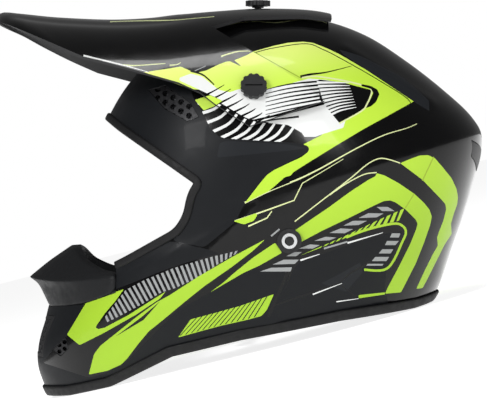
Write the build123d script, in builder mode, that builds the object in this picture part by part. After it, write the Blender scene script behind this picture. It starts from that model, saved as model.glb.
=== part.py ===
"""Motocross helmet: an open-face-port shell with a long chin bar, a tilting peak, and its liner, pads and strap.

The pieces are drawn in the worn frame: +X is the wearer's left, +Y the back, +Z up, and the origin is the
middle of the head.  Each one is then turned and lifted so that the helmet stands on its neck trim, with
+Z up and the origin at the bottom centre of its box.
"""
import math
import os

from build123d import *

# ---------------------------------------------------------------- driving dimensions, in mm and degrees
SHELL_HALF_WIDTH = 116.0
SHELL_WALL = 4.0
GAP = 0.5  # left between nested pieces
LINER_THICKNESS = 28.0
CHIN_LINER_THICKNESS = 14.0
CHEEK_LINER = 27.0  # from the shell's outer face to the cheek liner's inner one
CHEEK_PAD = 20.0
LINING_RAISE = 3.0  # from the neck bead's lip up to the lining
PAD_THICKNESS = 7.0
PEAK_GAP = 3.0  # between the shell and the peak
PEAK_WALL = 2.6

REST_FRONT = (-105, -130.1)  # y, z of the two flats of the rim that the helmet stands on
REST_BACK = (108, -75.6)
STAND_TILT = -math.atan2(REST_BACK[1] - REST_FRONT[1], REST_BACK[0] - REST_FRONT[0])  # back onto the rim
STAND_LIFT = -REST_FRONT[0] * math.sin(STAND_TILT) - REST_FRONT[1] * math.cos(STAND_TILT)
STAND_SHIFT = 10.1  # brings the middle of the length to the origin

TRIM_PROUD = 1.8  # how far the rubber beads stand off the wall, on both its faces
TRIM_CLEARANCE = 0.3  # between a bead's groove and the wall in it
NECK_TRIM_LIP = 8.0
NECK_TRIM_FOOT = 3.0  # rubber below the shell's edge
PORT_TRIM_LIP = 4.0
PORT_TRIM_EDGE = 1.6
GUARD_BACK = -96.0  # where the port bead ends at the nose guard
VENT_FRAME = 3.0
SNAP_RADIUS = 6.0

PIVOT_Y = -5.0  # peak side screws
PIVOT_Z = 73.0
SIDE_SCREW_LEAN = 24.0  # the side screws stand square to the flank there
SCREW_HEAD_RADIUS = 9.0
SCREW_HEAD_HEIGHT = 3.6
SCREW_RADIUS = 2.5
SCREW_CLEARANCE = 0.6  # in the peak's holes and slot, so that the peak can tilt
HEAD_LIFT = 1.4  # room under the screw heads for the tilt
INSERT_RADIUS = 4.5
INSERT_LENGTH = 9.0
INSERT_SINK = 0.5  # under the shell's face
INSERT_FIT = 0.15
SCREW_DEPTH = 12.0
SCREW_FIT = 0.05
WASHER_RADIUS = 7.0
WASHER_THICKNESS = 1.8
TOP_SCREW_Y = -1.5
TOP_HEAD_LIFT = 2.7  # the tongue rises under the top screw as the peak tilts
TOP_COLLAR_LIFT = 1.4
SLOT_FRONT = -8.0  # slot in the tongue, along Y
SLOT_BACK = 12.0

ANCHOR_Y = 19.0  # chin strap anchor bolts
ANCHOR_Z = -28.0
ANCHOR_RADIUS = 8.3
ANCHOR_BORE = 3.1
ANCHOR_WASHER = 2.2  # up to the washer's outer face
ANCHOR_HEAD_RADIUS = 5.2
ANCHOR_HEAD_HEIGHT = 1.6
ANCHOR_SOCKET = 3.3  # radius of the recess in the bolt's head
ANCHOR_FIT = 0.1
ANCHOR_LENGTH = 18.0
MOUTH_BORES = ((0, -97), (9, 5), 2.0, 6.2)  # middle, counts, radius and spacing of each vent's bores
BROW_BORES = ((-60, 65), (5, 5), 2.1, 6.4)
REAR_BORES = ((-36, 32), (4, 3), 2.2, 7.0)
CHIN_BORES = ((-139, -103), (2, 2), 1.6, 4.6)
SCREW_FLUTES = 12
SCREW_FLUTE_RADIUS = 1.8
SCREW_SLOT = (1.3, 1.4, 1.2)  # coin slot: length over head radius, width and depth
RING_CORNER = 4.0
STRAP_WIDTH = 25.0
STRAP_THICKNESS = 2.0
STRAP_CHANNEL = 3.0  # room on each side of a strap where it passes a liner or a pad
D_RING_WIRE = 2.6
D_RING_REACH = 17.0
LOOP_LENGTH = 11.0  # room in the right strap's end loop
LOOP_HEIGHT = 8.0
RING_SPREAD = 1.7  # each ring from the middle of the loop

# Outline of the shell in the middle plane, clockwise from the bottom: y, z and how full the flank is there.
# A fullness of 2 is an ellipse from the outline to the flank; more is boxier, less is more pointed.
SHELL_OUTLINE = [
    (10, -146, 2.30),
    (-50, -156, 2.10),
    (-105, -160, 1.90),
    (-143, -149, 1.85),
    (-157, -128, 1.80),
    (-160, -108, 1.80),
    (-154, -84, 1.80),
    (-146, -52, 1.85),
    (-136, -15, 1.95),
    (-124, 22, 2.10),
    (-110, 57, 2.20),
    (-92, 86, 2.30),
    (-66, 110, 2.35),
    (-33, 126, 2.40),
    (5, 131, 2.40),
    (42, 129, 2.40),
    (75, 118, 2.40),
    (105, 99, 2.40),
    (132, 78, 2.35),
    (152, 59, 2.30),
    (159, 42, 2.30),
    (152, 10, 2.30),
    (139, -30, 2.30),
    (120, -76, 2.30),
    (75, -122, 2.30),
]
PEAK_OUTLINE = [
    (0, -140, 2.4),
    (-100, -140, 2.5),
    (-150, -80, 2.5),
    (-165, 0, 2.5),
    (-176, 60, 2.5),
    (-188, 108, 2.5),
    (-190, 127, 2.5),
    (-184, 134, 2.5),
    (-165, 132, 2.5),
    (-144, 130, 2.5),
    (-108, 128.5, 2.5),
    (-79, 129.7, 2.5),
    (-57, 132.5, 2.45),
    (-29, 135.2, 2.42),
    (5, 137, 2.4),
    (45, 134.5, 2.4),
    (78, 123, 2.4),
    (110, 103, 2.4),
    (140, 80, 2.35),
    (164, 45, 2.3),
    (158, -10, 2.3),
    (120, -80, 2.3),
]
STATIONS = (0.0, 0.28, 0.52, 0.72, 0.86, 0.94, 0.98)  # share of the half width at each loft section

# Side outlines, each a list of y, z.
EYE_PORT = [
    (-230, 75),
    (-112, 64),
    (-96, 51),
    (-60, 26),
    (-40, 12),
    (-46, 3),
    (-49, -12),
    (-56, -23),
    (-90, -42),
    (-99, -46),
    (-99.5, -64),
    (-124.5, -73),
    (-152, -76.3),
    (-230, -76.3),
]
NECK_LINE = [
    (-200, -146.3),
    (-135, -137.8),
    REST_FRONT,
    (-94, -124.5),
    (-62, -108),
    (-14, -96),
    (54, -83),
    REST_BACK,
    (128, -70.5),
    (200, -52.1),
]
PEAK_SIDE = [
    (-200, 131),
    (-176, 122),
    (-122, 98),
    (-90, 89.5),
    (-56, 79.5),
    (-41, 72.5),
    (-31, 64.5),
    (-8, 49.5),
    (43, 67),
    (26, 81),
    (-4, 100),
    (-34, 120),
    (-12, 127.5),
    (30, 129),
    (50, 127),
    (52, 160),
    (-200, 160),
]
FAR = 200.0  # beyond every piece
TOP_SEAT = 137.0  # top of the peak's tongue under the top screw

MOUTH_VENT = [(-34, -82), (34, -82), (25, -112), (-25, -112)]  # seen from the front: x, z
REAR_VENT = [(20, 36), (52, 42), (50, 30), (22, 20)]  # left one, x, z
BROW_VENT = [(-78, 76), (-66, 79), (-48, 66), (-42, 56), (-50, 53), (-66, 62)]
CHIN_VENT = [(-150, -108), (-136, -99), (-135, -107)]
CHIN_VENT = [(-147, -106), (-136, -96), (-134, -104), (-140, -110)]

# Parts of the lining, each the stretch that its piece keeps.
CROWN_SIDE = [(-200, 84), (-112, 72), (-96, 58), (-60, 33), (-34, 16), (-34, -8), (52, -8), (60, -34), (200, -34),
              (200, 200), (-200, 200)]
CHIN_SIDE = [(-58, -34), (-90, -50), (-95, -72), (-125, -80), (-200, -84), (-200, -200), (-58, -200)]
CHEEK_SIDE = [(-52, -32), (-40, -12), (48, -12), (58, -56), (40, -73), (-40, -90), (-54, -92)]
CHEEK_PAD_SIDE = [(-48, -32), (-36, -16), (44, -16), (52, -56), (38, -72), (-38, -88), (-50, -88)]
NECK_ROLL_SIDE = [(66, -36), (62, -90), (200, -90), (200, -36)]
CHEEK_SNAPS = [(-28, -40), (34, -32), (30, -62)]

# Nose guard, from the side (y, z), from the front (x, z) and from above (x, y).
GUARD_SIDE = [(-101, -50.5), (-108, -51), (-120, -46), (-126.5, -39.6), (-129, -31.4), (-136, -32),
              (-153, -43.6), (-167, -55), (-159.6, -59.5), (-152.5, -75.8), (-124.5, -72.4), (-101, -63.5)]
GUARD_FRONT = [(92, -80), (92, -50), (62, -49), (42, -43), (24, -33), (15, -30)]
GUARD_OUTER = [(88, -97), (70, -121), (48, -141), (24, -157), (0, -167)]
GUARD_INNER = [(78, -97), (60, -116), (40, -132), (20, -143), (0, -149)]

# The straps' centre lines in their own plane: across, and down along it from the anchors.
STRAP_LEFT = [(106, -8), (104, 22), (88, 54), (52, 72), (10, 74.6), (-24, 74.6)]
STRAP_RIGHT = [(106, -8), (104, 22), (88, 54), (56, 74), (42, 77)]
STRAP_REACH = (-49.0, -64.0)  # from the anchors to the bottom of the loop: y, z
D_RING_SPOT = (37.0, 78.9)

# ---------------------------------------------------------------- shared shapes
def half_width_at(outline, half_width, y, z):
    """How far the flank of an egg-shaped body stands from the middle plane at one side-view point."""
    stations = sorted((math.atan2(p[1], p[0]) % math.tau, math.hypot(p[0], p[1]), p[2]) for p in outline)
    first, last = stations[0], stations[-1]
    stations = [(last[0] - math.tau, last[1], last[2])] + stations + [(first[0] + math.tau, first[1], first[2])]
    angle = math.atan2(z, y) % math.tau
    for (a0, r0, n0), (a1, r1, n1) in zip(stations, stations[1:]):
        if a0 <= angle <= a1:
            share = (angle - a0) / (a1 - a0)
            radius = r0 + share * (r1 - r0)
            fullness = n0 + share * (n1 - n0)
            break
    return half_width * (1 - (math.hypot(y, z) / radius) ** fullness) ** (1 / fullness)


def egg(outline, half_width, grow=0.0):
    """A closed body lofted through flat sections, each the outline drawn in towards the head's middle."""
    with BuildPart() as body:
        for share in [-s for s in STATIONS[:0:-1]] + list(STATIONS):
            with BuildSketch(Plane.YZ.offset(share * (half_width + grow))):
                with BuildLine():
                    points = []
                    for y, z, fullness in outline:
                        reach = 1 + grow / math.hypot(y, z)
                        reach *= (1 - abs(share) ** fullness) ** (1 / fullness)
                        points.append((y * reach, z * reach))
                    Spline(*points, periodic=True)
                make_face()
        loft()
    return body.part


def shell_egg(grow=0.0):
    """The shell's outer form, moved out or in by grow."""
    return egg(SHELL_OUTLINE, SHELL_HALF_WIDTH, grow)


def layer(outer, inner):
    """What lies between two egg-shaped bodies."""
    with BuildPart() as wall:
        add(outer)
        add(inner, mode=Mode.SUBTRACT)
    return wall.part


def prism(plane, points, reach, both=True, grow=0.0):
    """A flat outline, moved out or in by grow, pulled along its plane's normal."""
    with BuildPart() as body:
        with BuildSketch(plane):
            with BuildLine():
                Polyline(*points, close=True)
            make_face()
            if grow:
                offset(amount=grow, kind=Kind.INTERSECTION)
        extrude(amount=reach, both=both)
    return body.part


def side_prism(points, grow=0.0):
    """A side outline pulled through the whole width."""
    return prism(Plane.YZ, points, FAR, grow=grow)


def flank_prism(points, grow=0.0):
    """A side outline pulled through the left flank only."""
    return prism(Plane.YZ, points, FAR, both=False, grow=grow)


def front_prism(points, grow=0.0):
    """A front outline pulled forwards through the chin bar."""
    return prism(Plane.XZ, points, FAR, both=False, grow=grow)


def back_prism(points, grow=0.0):
    """A front outline pulled backwards through the back of the head."""
    return prism(Plane.XZ, points, -FAR, both=False, grow=grow)


def cut(body, *tools, keep=()):
    """The body inside every keep solid and outside every tool."""
    with BuildPart() as result:
        add(body)
        for tool in keep:
            add(tool, mode=Mode.INTERSECT)
        for tool in tools:
            add(tool, mode=Mode.SUBTRACT)
    return result.part


def other_side(body):
    """The wearer's right-hand copy of a left-hand piece."""
    return mirror(body, about=Plane.YZ)


def stand(piece, name):
    """Turns a finished piece from the worn frame to the standing one and writes it."""
    placed = piece.moved(Location((0, STAND_SHIFT, STAND_LIFT), (math.degrees(STAND_TILT), 0, 0)))
    placed.label = name
    export_step(placed, f"parts/{name}.step")


def neck_line_prism(lift, up=False):
    """Everything under the neck line raised by lift, or over it."""
    end = FAR if up else -1.3 * FAR
    return side_prism([(y, z + lift) for y, z in NECK_LINE] + [(FAR, end), (-FAR, end)])


def post(plane, radius, start, length, bore=0.0):
    """A round post or sleeve along a plane's normal."""
    with BuildPart() as body:
        with BuildSketch(plane.offset(start)):
            Circle(radius)
            if bore:
                Circle(bore, mode=Mode.SUBTRACT)
        extrude(amount=length)
    return body.part


def bores(plane, centre, counts, radius, spacing):
    """A staggered field of round bores along a plane's normal."""
    with BuildPart() as field:
        with BuildSketch(plane):
            with Locations(centre):
                with HexLocations(spacing / 2, *counts):
                    Circle(radius)
        extrude(amount=FAR)
    return field.part


def screw(plane, lift, collar_lift):
    """A fluted thumb screw whose head stands lift above its plane, over a narrower collar and the shank."""
    with BuildPart() as body:
        with BuildSketch(plane.offset(lift)):
            Circle(SCREW_HEAD_RADIUS)
            with PolarLocations(SCREW_HEAD_RADIUS + 1.0, SCREW_FLUTES):
                Circle(SCREW_FLUTE_RADIUS, mode=Mode.SUBTRACT)
        extrude(amount=SCREW_HEAD_HEIGHT)
        with BuildSketch(plane.offset(lift + SCREW_HEAD_HEIGHT)):
            Rectangle(SCREW_SLOT[0] * SCREW_HEAD_RADIUS, SCREW_SLOT[1])
        extrude(amount=-SCREW_SLOT[2], mode=Mode.SUBTRACT)
        with BuildSketch(plane.offset(collar_lift)):
            Circle(1.7 * SCREW_RADIUS)
        extrude(amount=lift - collar_lift)
        with BuildSketch(plane.offset(collar_lift)):
            Circle(SCREW_RADIUS)
        extrude(amount=-(collar_lift + SCREW_DEPTH))
    return body.part


def webbing(plane, route, thickness, width):
    """A flat strap along a route in a plane, with its width square to that plane."""
    with BuildPart() as body:
        with BuildSketch(plane):
            with BuildLine() as path:
                Polyline(*route)
            trace(path.line, line_width=thickness)
        extrude(amount=width / 2, both=True)
    return body.part


def insert_bore(plane, clearance):
    """The bore that a screw insert and its surroundings need."""
    return post(plane, INSERT_RADIUS + clearance, insert_top - INSERT_LENGTH - 2, INSERT_LENGTH + 12)


def in_strap_plane(route, side=1):
    """A strap's route on the left side (1) or the right one (-1)."""
    return [(side * across, down) for across, down in route]


def all_three(left, top):
    """The same small piece at both side screws and at the top one."""
    return Compound(children=[left, other_side(left), top])


def insert(plane):
    """A threaded sleeve for a screw."""
    return post(plane, INSERT_RADIUS, insert_top - INSERT_LENGTH, INSERT_LENGTH, bore=SCREW_RADIUS + SCREW_FIT)


def washer(plane):
    """A rubber washer in the gap between the shell and the peak."""
    return post(plane, WASHER_RADIUS, -PEAK_WALL - PEAK_GAP + 0.6, WASHER_THICKNESS, bore=SCREW_RADIUS + 0.2)


def both_sides(left):
    """A left-hand piece with its right-hand copy."""
    return Compound(children=[left, other_side(left)])


def d_ring(drop):
    """A D ring whose straight bar lies in the right strap's end loop."""
    centre = strap_plane.from_local_coords(Vector(ring_spot[0], ring_spot[1] + drop, 0))
    flat = Plane(origin=centre, x_dir=(1, 0, 0), z_dir=strap_plane.y_dir)
    outer_width = STRAP_WIDTH + 2 + 2 * D_RING_WIRE
    with BuildPart() as ring:
        with BuildSketch(flat):
            with Locations((D_RING_REACH / 2, 0)):
                RectangleRounded(D_RING_REACH + D_RING_WIRE, outer_width, RING_CORNER)
                Rectangle(D_RING_REACH - D_RING_WIRE, STRAP_WIDTH + 2, mode=Mode.SUBTRACT)
        extrude(amount=D_RING_WIRE / 2, both=True)
    return ring.part


os.makedirs("parts", exist_ok=True)

# ---------------------------------------------------------------- nested forms that several pieces share
outside = shell_egg()
inside = shell_egg(-SHELL_WALL)
lining_outside = shell_egg(-SHELL_WALL - GAP)
cheek_face = shell_egg(-CHEEK_LINER)
pad_back = shell_egg(-CHEEK_LINER - GAP)
pad_face = shell_egg(-CHEEK_LINER - CHEEK_PAD)
groove_wall = layer(shell_egg(TRIM_CLEARANCE), shell_egg(-SHELL_WALL - TRIM_CLEARANCE))
bead_wall = layer(shell_egg(TRIM_PROUD), shell_egg(-SHELL_WALL - TRIM_PROUD))
vent_wall = layer(shell_egg(-GAP), inside)
above_neck_lining = neck_line_prism(NECK_TRIM_LIP + LINING_RAISE, up=True)

# ---------------------------------------------------------------- screw places
flank = half_width_at(SHELL_OUTLINE, SHELL_HALF_WIDTH, PIVOT_Y, PIVOT_Z)
lean = math.radians(SIDE_SCREW_LEAN)
side_normal = Vector(math.cos(lean), 0, math.sin(lean))
side_plane = Plane(
    origin=Vector(flank, PIVOT_Y, PIVOT_Z) + side_normal * (PEAK_GAP + PEAK_WALL),
    x_dir=(0, 1, 0),
    z_dir=side_normal,
)
top_plane = Plane(origin=(0, TOP_SCREW_Y, TOP_SEAT), x_dir=(1, 0, 0), z_dir=(0, 0, 1))
anchor_plane = Plane(
    origin=(half_width_at(SHELL_OUTLINE, SHELL_HALF_WIDTH, ANCHOR_Y, ANCHOR_Z), ANCHOR_Y, ANCHOR_Z),
    x_dir=(0, 1, 0),
    z_dir=(1, 0, 0),
)
insert_top = -PEAK_GAP - PEAK_WALL - INSERT_SINK

# ---------------------------------------------------------------- shell
mouth_hole = front_prism(MOUTH_VENT)
brow_hole = flank_prism(BROW_VENT)
chin_hole = flank_prism(CHIN_VENT)
rear_hole = back_prism(REAR_VENT)
side_bore = insert_bore(side_plane, INSERT_FIT)
anchor_bore = post(anchor_plane, ANCHOR_BORE, -30, 40)
outer_shell = cut(
    layer(outside, inside),
    neck_line_prism(NECK_TRIM_FOOT),
    side_prism(EYE_PORT),
    mouth_hole,
    brow_hole,
    other_side(brow_hole),
    chin_hole,
    other_side(chin_hole),
    rear_hole,
    other_side(rear_hole),
    side_bore,
    other_side(side_bore),
    insert_bore(top_plane, INSERT_FIT),
    anchor_bore,
    other_side(anchor_bore),
)
stand(outer_shell, "outer_shell")

# ---------------------------------------------------------------- peak
side_hole = post(side_plane, SCREW_RADIUS + SCREW_CLEARANCE, -9, 12)
with BuildPart() as top_slot:
    with BuildSketch(top_plane):
        with Locations((0, (SLOT_FRONT + SLOT_BACK) / 2 - TOP_SCREW_Y)):
            SlotOverall(SLOT_BACK - SLOT_FRONT, 2 * (SCREW_RADIUS + SCREW_CLEARANCE), rotation=90)
    extrude(amount=9, both=True)
peak = cut(
    layer(
        egg(PEAK_OUTLINE, SHELL_HALF_WIDTH + PEAK_GAP + PEAK_WALL),
        egg(PEAK_OUTLINE, SHELL_HALF_WIDTH + PEAK_GAP + PEAK_WALL, grow=-PEAK_WALL),
    ),
    side_hole,
    other_side(side_hole),
    top_slot.part,
    keep=[side_prism(PEAK_SIDE)],
)
stand(peak, "peak")

# ---------------------------------------------------------------- rubber beads
neck_trim = cut(
    bead_wall,
    neck_line_prism(0),
    cut(groove_wall, keep=[neck_line_prism(NECK_TRIM_FOOT - TRIM_CLEARANCE, up=True)]),
    keep=[neck_line_prism(NECK_TRIM_LIP)],
)
stand(neck_trim, "neck_trim")

port_trim = cut(
    bead_wall,
    side_prism(EYE_PORT, grow=-PORT_TRIM_EDGE),
    cut(groove_wall, side_prism(EYE_PORT, grow=-TRIM_CLEARANCE)),
    side_prism([(-FAR, -FAR), (-FAR, 0), (GUARD_BACK, 0), (GUARD_BACK, -FAR)]),
    keep=[side_prism(EYE_PORT, grow=PORT_TRIM_LIP)],
)
stand(port_trim, "port_trim")

# ---------------------------------------------------------------- nose guard
with BuildPart() as nose_guard:
    with BuildSketch(Plane.XY.offset(-80)):
        with BuildLine():
            rim = GUARD_OUTER + [(-x, y) for x, y in GUARD_OUTER[-2::-1]]
            lip = GUARD_INNER + [(-x, y) for x, y in GUARD_INNER[-2::-1]]
            Spline(*rim)
            Spline(*lip)
            Line(rim[0], lip[0])
            Line(rim[-1], lip[-1])
        make_face()
    extrude(amount=60)
    add(side_prism(GUARD_SIDE), mode=Mode.INTERSECT)
    add(
        front_prism(GUARD_FRONT + [(-x, z) for x, z in GUARD_FRONT[::-1]]),
        mode=Mode.INTERSECT,
    )
stand(nose_guard.part, "nose_guard")

# ---------------------------------------------------------------- vents
mouth_plug = cut(layer(outside, inside), keep=[front_prism(MOUTH_VENT, grow=-TRIM_CLEARANCE)])
mouth_vent_frame = cut(mouth_plug, front_prism(MOUTH_VENT, grow=-VENT_FRAME))
stand(mouth_vent_frame, "mouth_vent_frame")

mouth_vent_grille = cut(
    vent_wall,
    bores(Plane.XZ, *MOUTH_BORES),
    keep=[front_prism(MOUTH_VENT, grow=-VENT_FRAME - TRIM_CLEARANCE)],
)
stand(mouth_vent_grille, "mouth_vent_grille")

brow_vent = cut(
    vent_wall,
    bores(Plane.YZ, *BROW_BORES),
    keep=[flank_prism(BROW_VENT, grow=-TRIM_CLEARANCE)],
)
rear_vent = cut(
    vent_wall,
    bores(Plane.XZ.rotated((0, 180, 0)), *REAR_BORES),
    keep=[back_prism(REAR_VENT, grow=-TRIM_CLEARANCE)],
)
chin_vent = cut(
    vent_wall,
    bores(Plane.YZ, *CHIN_BORES),
    keep=[flank_prism(CHIN_VENT, grow=-TRIM_CLEARANCE)],
)
for name, vent in (("brow_vent", brow_vent), ("rear_vent", rear_vent), ("chin_vent", chin_vent)):
    stand(vent, f"{name}_left")
    stand(other_side(vent), f"{name}_right")

# ---------------------------------------------------------------- chin strap: planes and channels
reach = math.hypot(*STRAP_REACH)
strap_plane = Plane(
    origin=(0, ANCHOR_Y, ANCHOR_Z),
    x_dir=(1, 0, 0),
    z_dir=(0, -STRAP_REACH[1] / reach, STRAP_REACH[0] / reach),
)

channels = [
    webbing(
        strap_plane,
        in_strap_plane(route),
        STRAP_THICKNESS + 2 * STRAP_CHANNEL,
        STRAP_WIDTH + 2 * STRAP_CHANNEL,
    )
    for route in (STRAP_LEFT[:5], STRAP_RIGHT)
]

# ---------------------------------------------------------------- lining
eps_crown_liner = cut(
    layer(lining_outside, shell_egg(-SHELL_WALL - LINER_THICKNESS)),
    insert_bore(top_plane, GAP),
    insert_bore(side_plane, GAP),
    other_side(insert_bore(side_plane, GAP)),
    keep=[side_prism(CROWN_SIDE)],
)
stand(eps_crown_liner, "eps_crown_liner")

eps_chin_liner = cut(
    layer(lining_outside, shell_egg(-SHELL_WALL - CHIN_LINER_THICKNESS)),
    front_prism(MOUTH_VENT, grow=2),
    keep=[side_prism(CHIN_SIDE), above_neck_lining],
)
stand(eps_chin_liner, "eps_chin_liner")

crown_pad = cut(
    layer(shell_egg(-SHELL_WALL - LINER_THICKNESS - GAP), shell_egg(-SHELL_WALL - LINER_THICKNESS - PAD_THICKNESS)),
    keep=[side_prism(CROWN_SIDE, grow=-6), side_prism([(-FAR, 4), (FAR, 4), (FAR, FAR), (-FAR, FAR)])],
)
stand(crown_pad, "crown_pad")

neck_roll = cut(layer(lining_outside, shell_egg(-SHELL_WALL - 22)), keep=[side_prism(NECK_ROLL_SIDE), above_neck_lining])
stand(neck_roll, "neck_roll")

snap_planes = [Plane(origin=(0, y, z), x_dir=(0, 1, 0), z_dir=(1, 0, 0)) for y, z in CHEEK_SNAPS]
snap_posts = [post(plane, SNAP_RADIUS, 40, FAR) for plane in snap_planes]
snap_bores = [post(plane, SNAP_RADIUS + TRIM_CLEARANCE, 40, FAR) for plane in snap_planes]
cheek_eps = cut(
    layer(lining_outside, cheek_face),
    *channels,
    anchor_bore,
    *snap_bores,
    keep=[flank_prism(CHEEK_SIDE), above_neck_lining],
)
cheek_pad = cut(
    layer(pad_back, pad_face),
    *channels,
    *snap_bores,
    keep=[flank_prism(CHEEK_PAD_SIDE), above_neck_lining],
)
stand(cheek_eps, "cheek_eps_left")
stand(other_side(cheek_eps), "cheek_eps_right")
stand(cheek_pad, "cheek_pad_left")
stand(other_side(cheek_pad), "cheek_pad_right")

# ---------------------------------------------------------------- screws, inserts and studs
peak_side_screw = screw(side_plane, HEAD_LIFT, HEAD_LIFT - 0.6)
stand(peak_side_screw, "peak_side_screw_left")
stand(other_side(peak_side_screw), "peak_side_screw_right")
stand(screw(top_plane, TOP_HEAD_LIFT, TOP_COLLAR_LIFT), "peak_top_screw")

stand(all_three(insert(side_plane), insert(top_plane)), "screw_inserts")
stand(all_three(washer(side_plane), washer(top_plane)), "peak_washers")

anchor_bolt = cut(
    post(anchor_plane, ANCHOR_HEAD_RADIUS, ANCHOR_WASHER, ANCHOR_HEAD_HEIGHT)
    + post(anchor_plane, ANCHOR_BORE - ANCHOR_FIT, ANCHOR_WASHER - ANCHOR_LENGTH, ANCHOR_LENGTH),
    post(anchor_plane, ANCHOR_SOCKET, ANCHOR_WASHER + ANCHOR_HEAD_HEIGHT / 2, ANCHOR_HEAD_HEIGHT),
)
anchor_washer = post(anchor_plane, ANCHOR_RADIUS, 0.4, ANCHOR_WASHER - 0.4, bore=ANCHOR_BORE)
stand(both_sides(anchor_bolt), "strap_anchor_bolts")
stand(both_sides(anchor_washer), "strap_anchor_washers")

studs = [cut(layer(shell_egg(-CHEEK_LINER + 6), cheek_face), keep=[spot]) for spot in snap_posts]
sockets = [cut(layer(pad_back, shell_egg(-CHEEK_LINER - 6)), keep=[spot]) for spot in snap_posts]
stand(Compound(children=studs + [other_side(stud) for stud in studs]), "cheek_snap_studs")
stand(Compound(children=sockets + [other_side(socket) for socket in sockets]), "cheek_snap_sockets")

# ---------------------------------------------------------------- chin strap
chin_strap_left = cut(
    webbing(strap_plane, in_strap_plane(STRAP_LEFT), STRAP_THICKNESS, STRAP_WIDTH),
    anchor_bore,
)
stand(chin_strap_left, "chin_strap_left")

ring_spot = in_strap_plane([D_RING_SPOT], side=-1)[0]
with BuildPart() as chin_strap_right:
    with BuildSketch(strap_plane):
        with BuildLine() as path:
            Polyline(*in_strap_plane(STRAP_RIGHT, side=-1))
        trace(path.line, line_width=STRAP_THICKNESS)
        with Locations(ring_spot):
            SlotOverall(LOOP_LENGTH + 2 * STRAP_THICKNESS, LOOP_HEIGHT + 2 * STRAP_THICKNESS)
            SlotOverall(LOOP_LENGTH, LOOP_HEIGHT, mode=Mode.SUBTRACT)
    extrude(amount=STRAP_WIDTH / 2, both=True)
    add(other_side(anchor_bore), mode=Mode.SUBTRACT)
stand(chin_strap_right.part, "chin_strap_right")

stand(d_ring(RING_SPREAD), "d_ring_front")
stand(d_ring(-RING_SPREAD), "d_ring_back")
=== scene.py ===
"""Motocross helmet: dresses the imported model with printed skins, rubber, vents, lining and strap."""
import math

import bmesh
import bpy
import numpy as np
from mathutils import Matrix, Vector
from mathutils.geometry import delaunay_2d_cdt


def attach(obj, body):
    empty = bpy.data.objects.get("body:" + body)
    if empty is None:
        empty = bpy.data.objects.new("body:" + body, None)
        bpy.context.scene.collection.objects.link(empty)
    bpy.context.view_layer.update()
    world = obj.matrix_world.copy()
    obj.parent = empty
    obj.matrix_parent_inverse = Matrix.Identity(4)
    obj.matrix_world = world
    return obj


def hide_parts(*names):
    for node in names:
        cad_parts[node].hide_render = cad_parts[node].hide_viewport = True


bl_info = {
    "name": "Motocross helmet",
    "version": (1, 0, 0),
    "blender": (4, 5, 0),
    "location": "View3D > Sidebar > Helmet",
    "description": "Builds the skins, graphics, lining and fittings of a motocross helmet around its model",
    "category": "Add Mesh",
}

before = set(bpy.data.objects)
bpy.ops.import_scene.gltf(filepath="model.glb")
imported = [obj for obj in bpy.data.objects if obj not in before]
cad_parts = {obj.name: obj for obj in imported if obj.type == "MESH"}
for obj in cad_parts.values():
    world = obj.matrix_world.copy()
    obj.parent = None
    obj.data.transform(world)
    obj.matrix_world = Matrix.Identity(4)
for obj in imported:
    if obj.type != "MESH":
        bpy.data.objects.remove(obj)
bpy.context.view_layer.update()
MM = 0.001

# ------------------------------------------------------------------ how the worn helmet stands on its rim
# Shapes are drawn in the worn frame, in millimetres: +X the wearer's left, +Y back, +Z up.
REST_FRONT = (-105.0, -130.1)
REST_BACK = (108.0, -75.6)
STAND_TILT = -math.atan2(REST_BACK[1] - REST_FRONT[1], REST_BACK[0] - REST_FRONT[0])
STAND_LIFT = -REST_FRONT[0] * math.sin(STAND_TILT) - REST_FRONT[1] * math.cos(STAND_TILT)
STAND_SHIFT = 10.1
STAND = (
    Matrix.Scale(MM, 4)
    @ Matrix.Translation((0.0, STAND_SHIFT, STAND_LIFT))
    @ Matrix.Rotation(STAND_TILT, 4, "X")
)
EYE = (1800.0, -11.9, -4.7)  # where the graphics are meant to be seen from

# Outline of a skin in the middle plane: y, z and how full the flank is there.
SHELL_OUTLINE = [
    (10, -146, 2.30), (-50, -156, 2.10), (-105, -160, 1.90), (-143, -149, 1.85), (-157, -128, 1.80),
    (-160, -108, 1.80), (-154, -84, 1.80), (-146, -52, 1.85), (-136, -15, 1.95), (-124, 22, 2.10),
    (-110, 57, 2.20), (-92, 86, 2.30), (-66, 110, 2.35), (-33, 126, 2.40), (5, 131, 2.40), (42, 129, 2.40),
    (75, 118, 2.40), (105, 99, 2.40), (132, 78, 2.35), (152, 59, 2.30), (159, 42, 2.30), (152, 10, 2.30),
    (139, -30, 2.30), (120, -76, 2.30), (75, -122, 2.30),
]
PEAK_OUTLINE = [
    (0, -140, 2.4), (-100, -140, 2.5), (-150, -80, 2.5), (-165, 0, 2.5), (-176, 60, 2.5), (-188, 108, 2.5),
    (-190, 127, 2.5), (-184, 134, 2.5), (-165, 132, 2.5), (-144, 130, 2.5), (-108, 128.5, 2.5),
    (-79, 129.7, 2.5), (-57, 132.5, 2.45), (-29, 135.2, 2.42), (5, 137, 2.4), (45, 134.5, 2.4),
    (78, 123, 2.4), (110, 103, 2.4), (140, 80, 2.35), (164, 45, 2.3), (158, -10, 2.3), (120, -80, 2.3),
]
SHELL_HALF_WIDTH = 116.0
SHELL_WALL = 4.0
PEAK_HALF_WIDTH = 121.6
PEAK_WALL = 2.6

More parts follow.
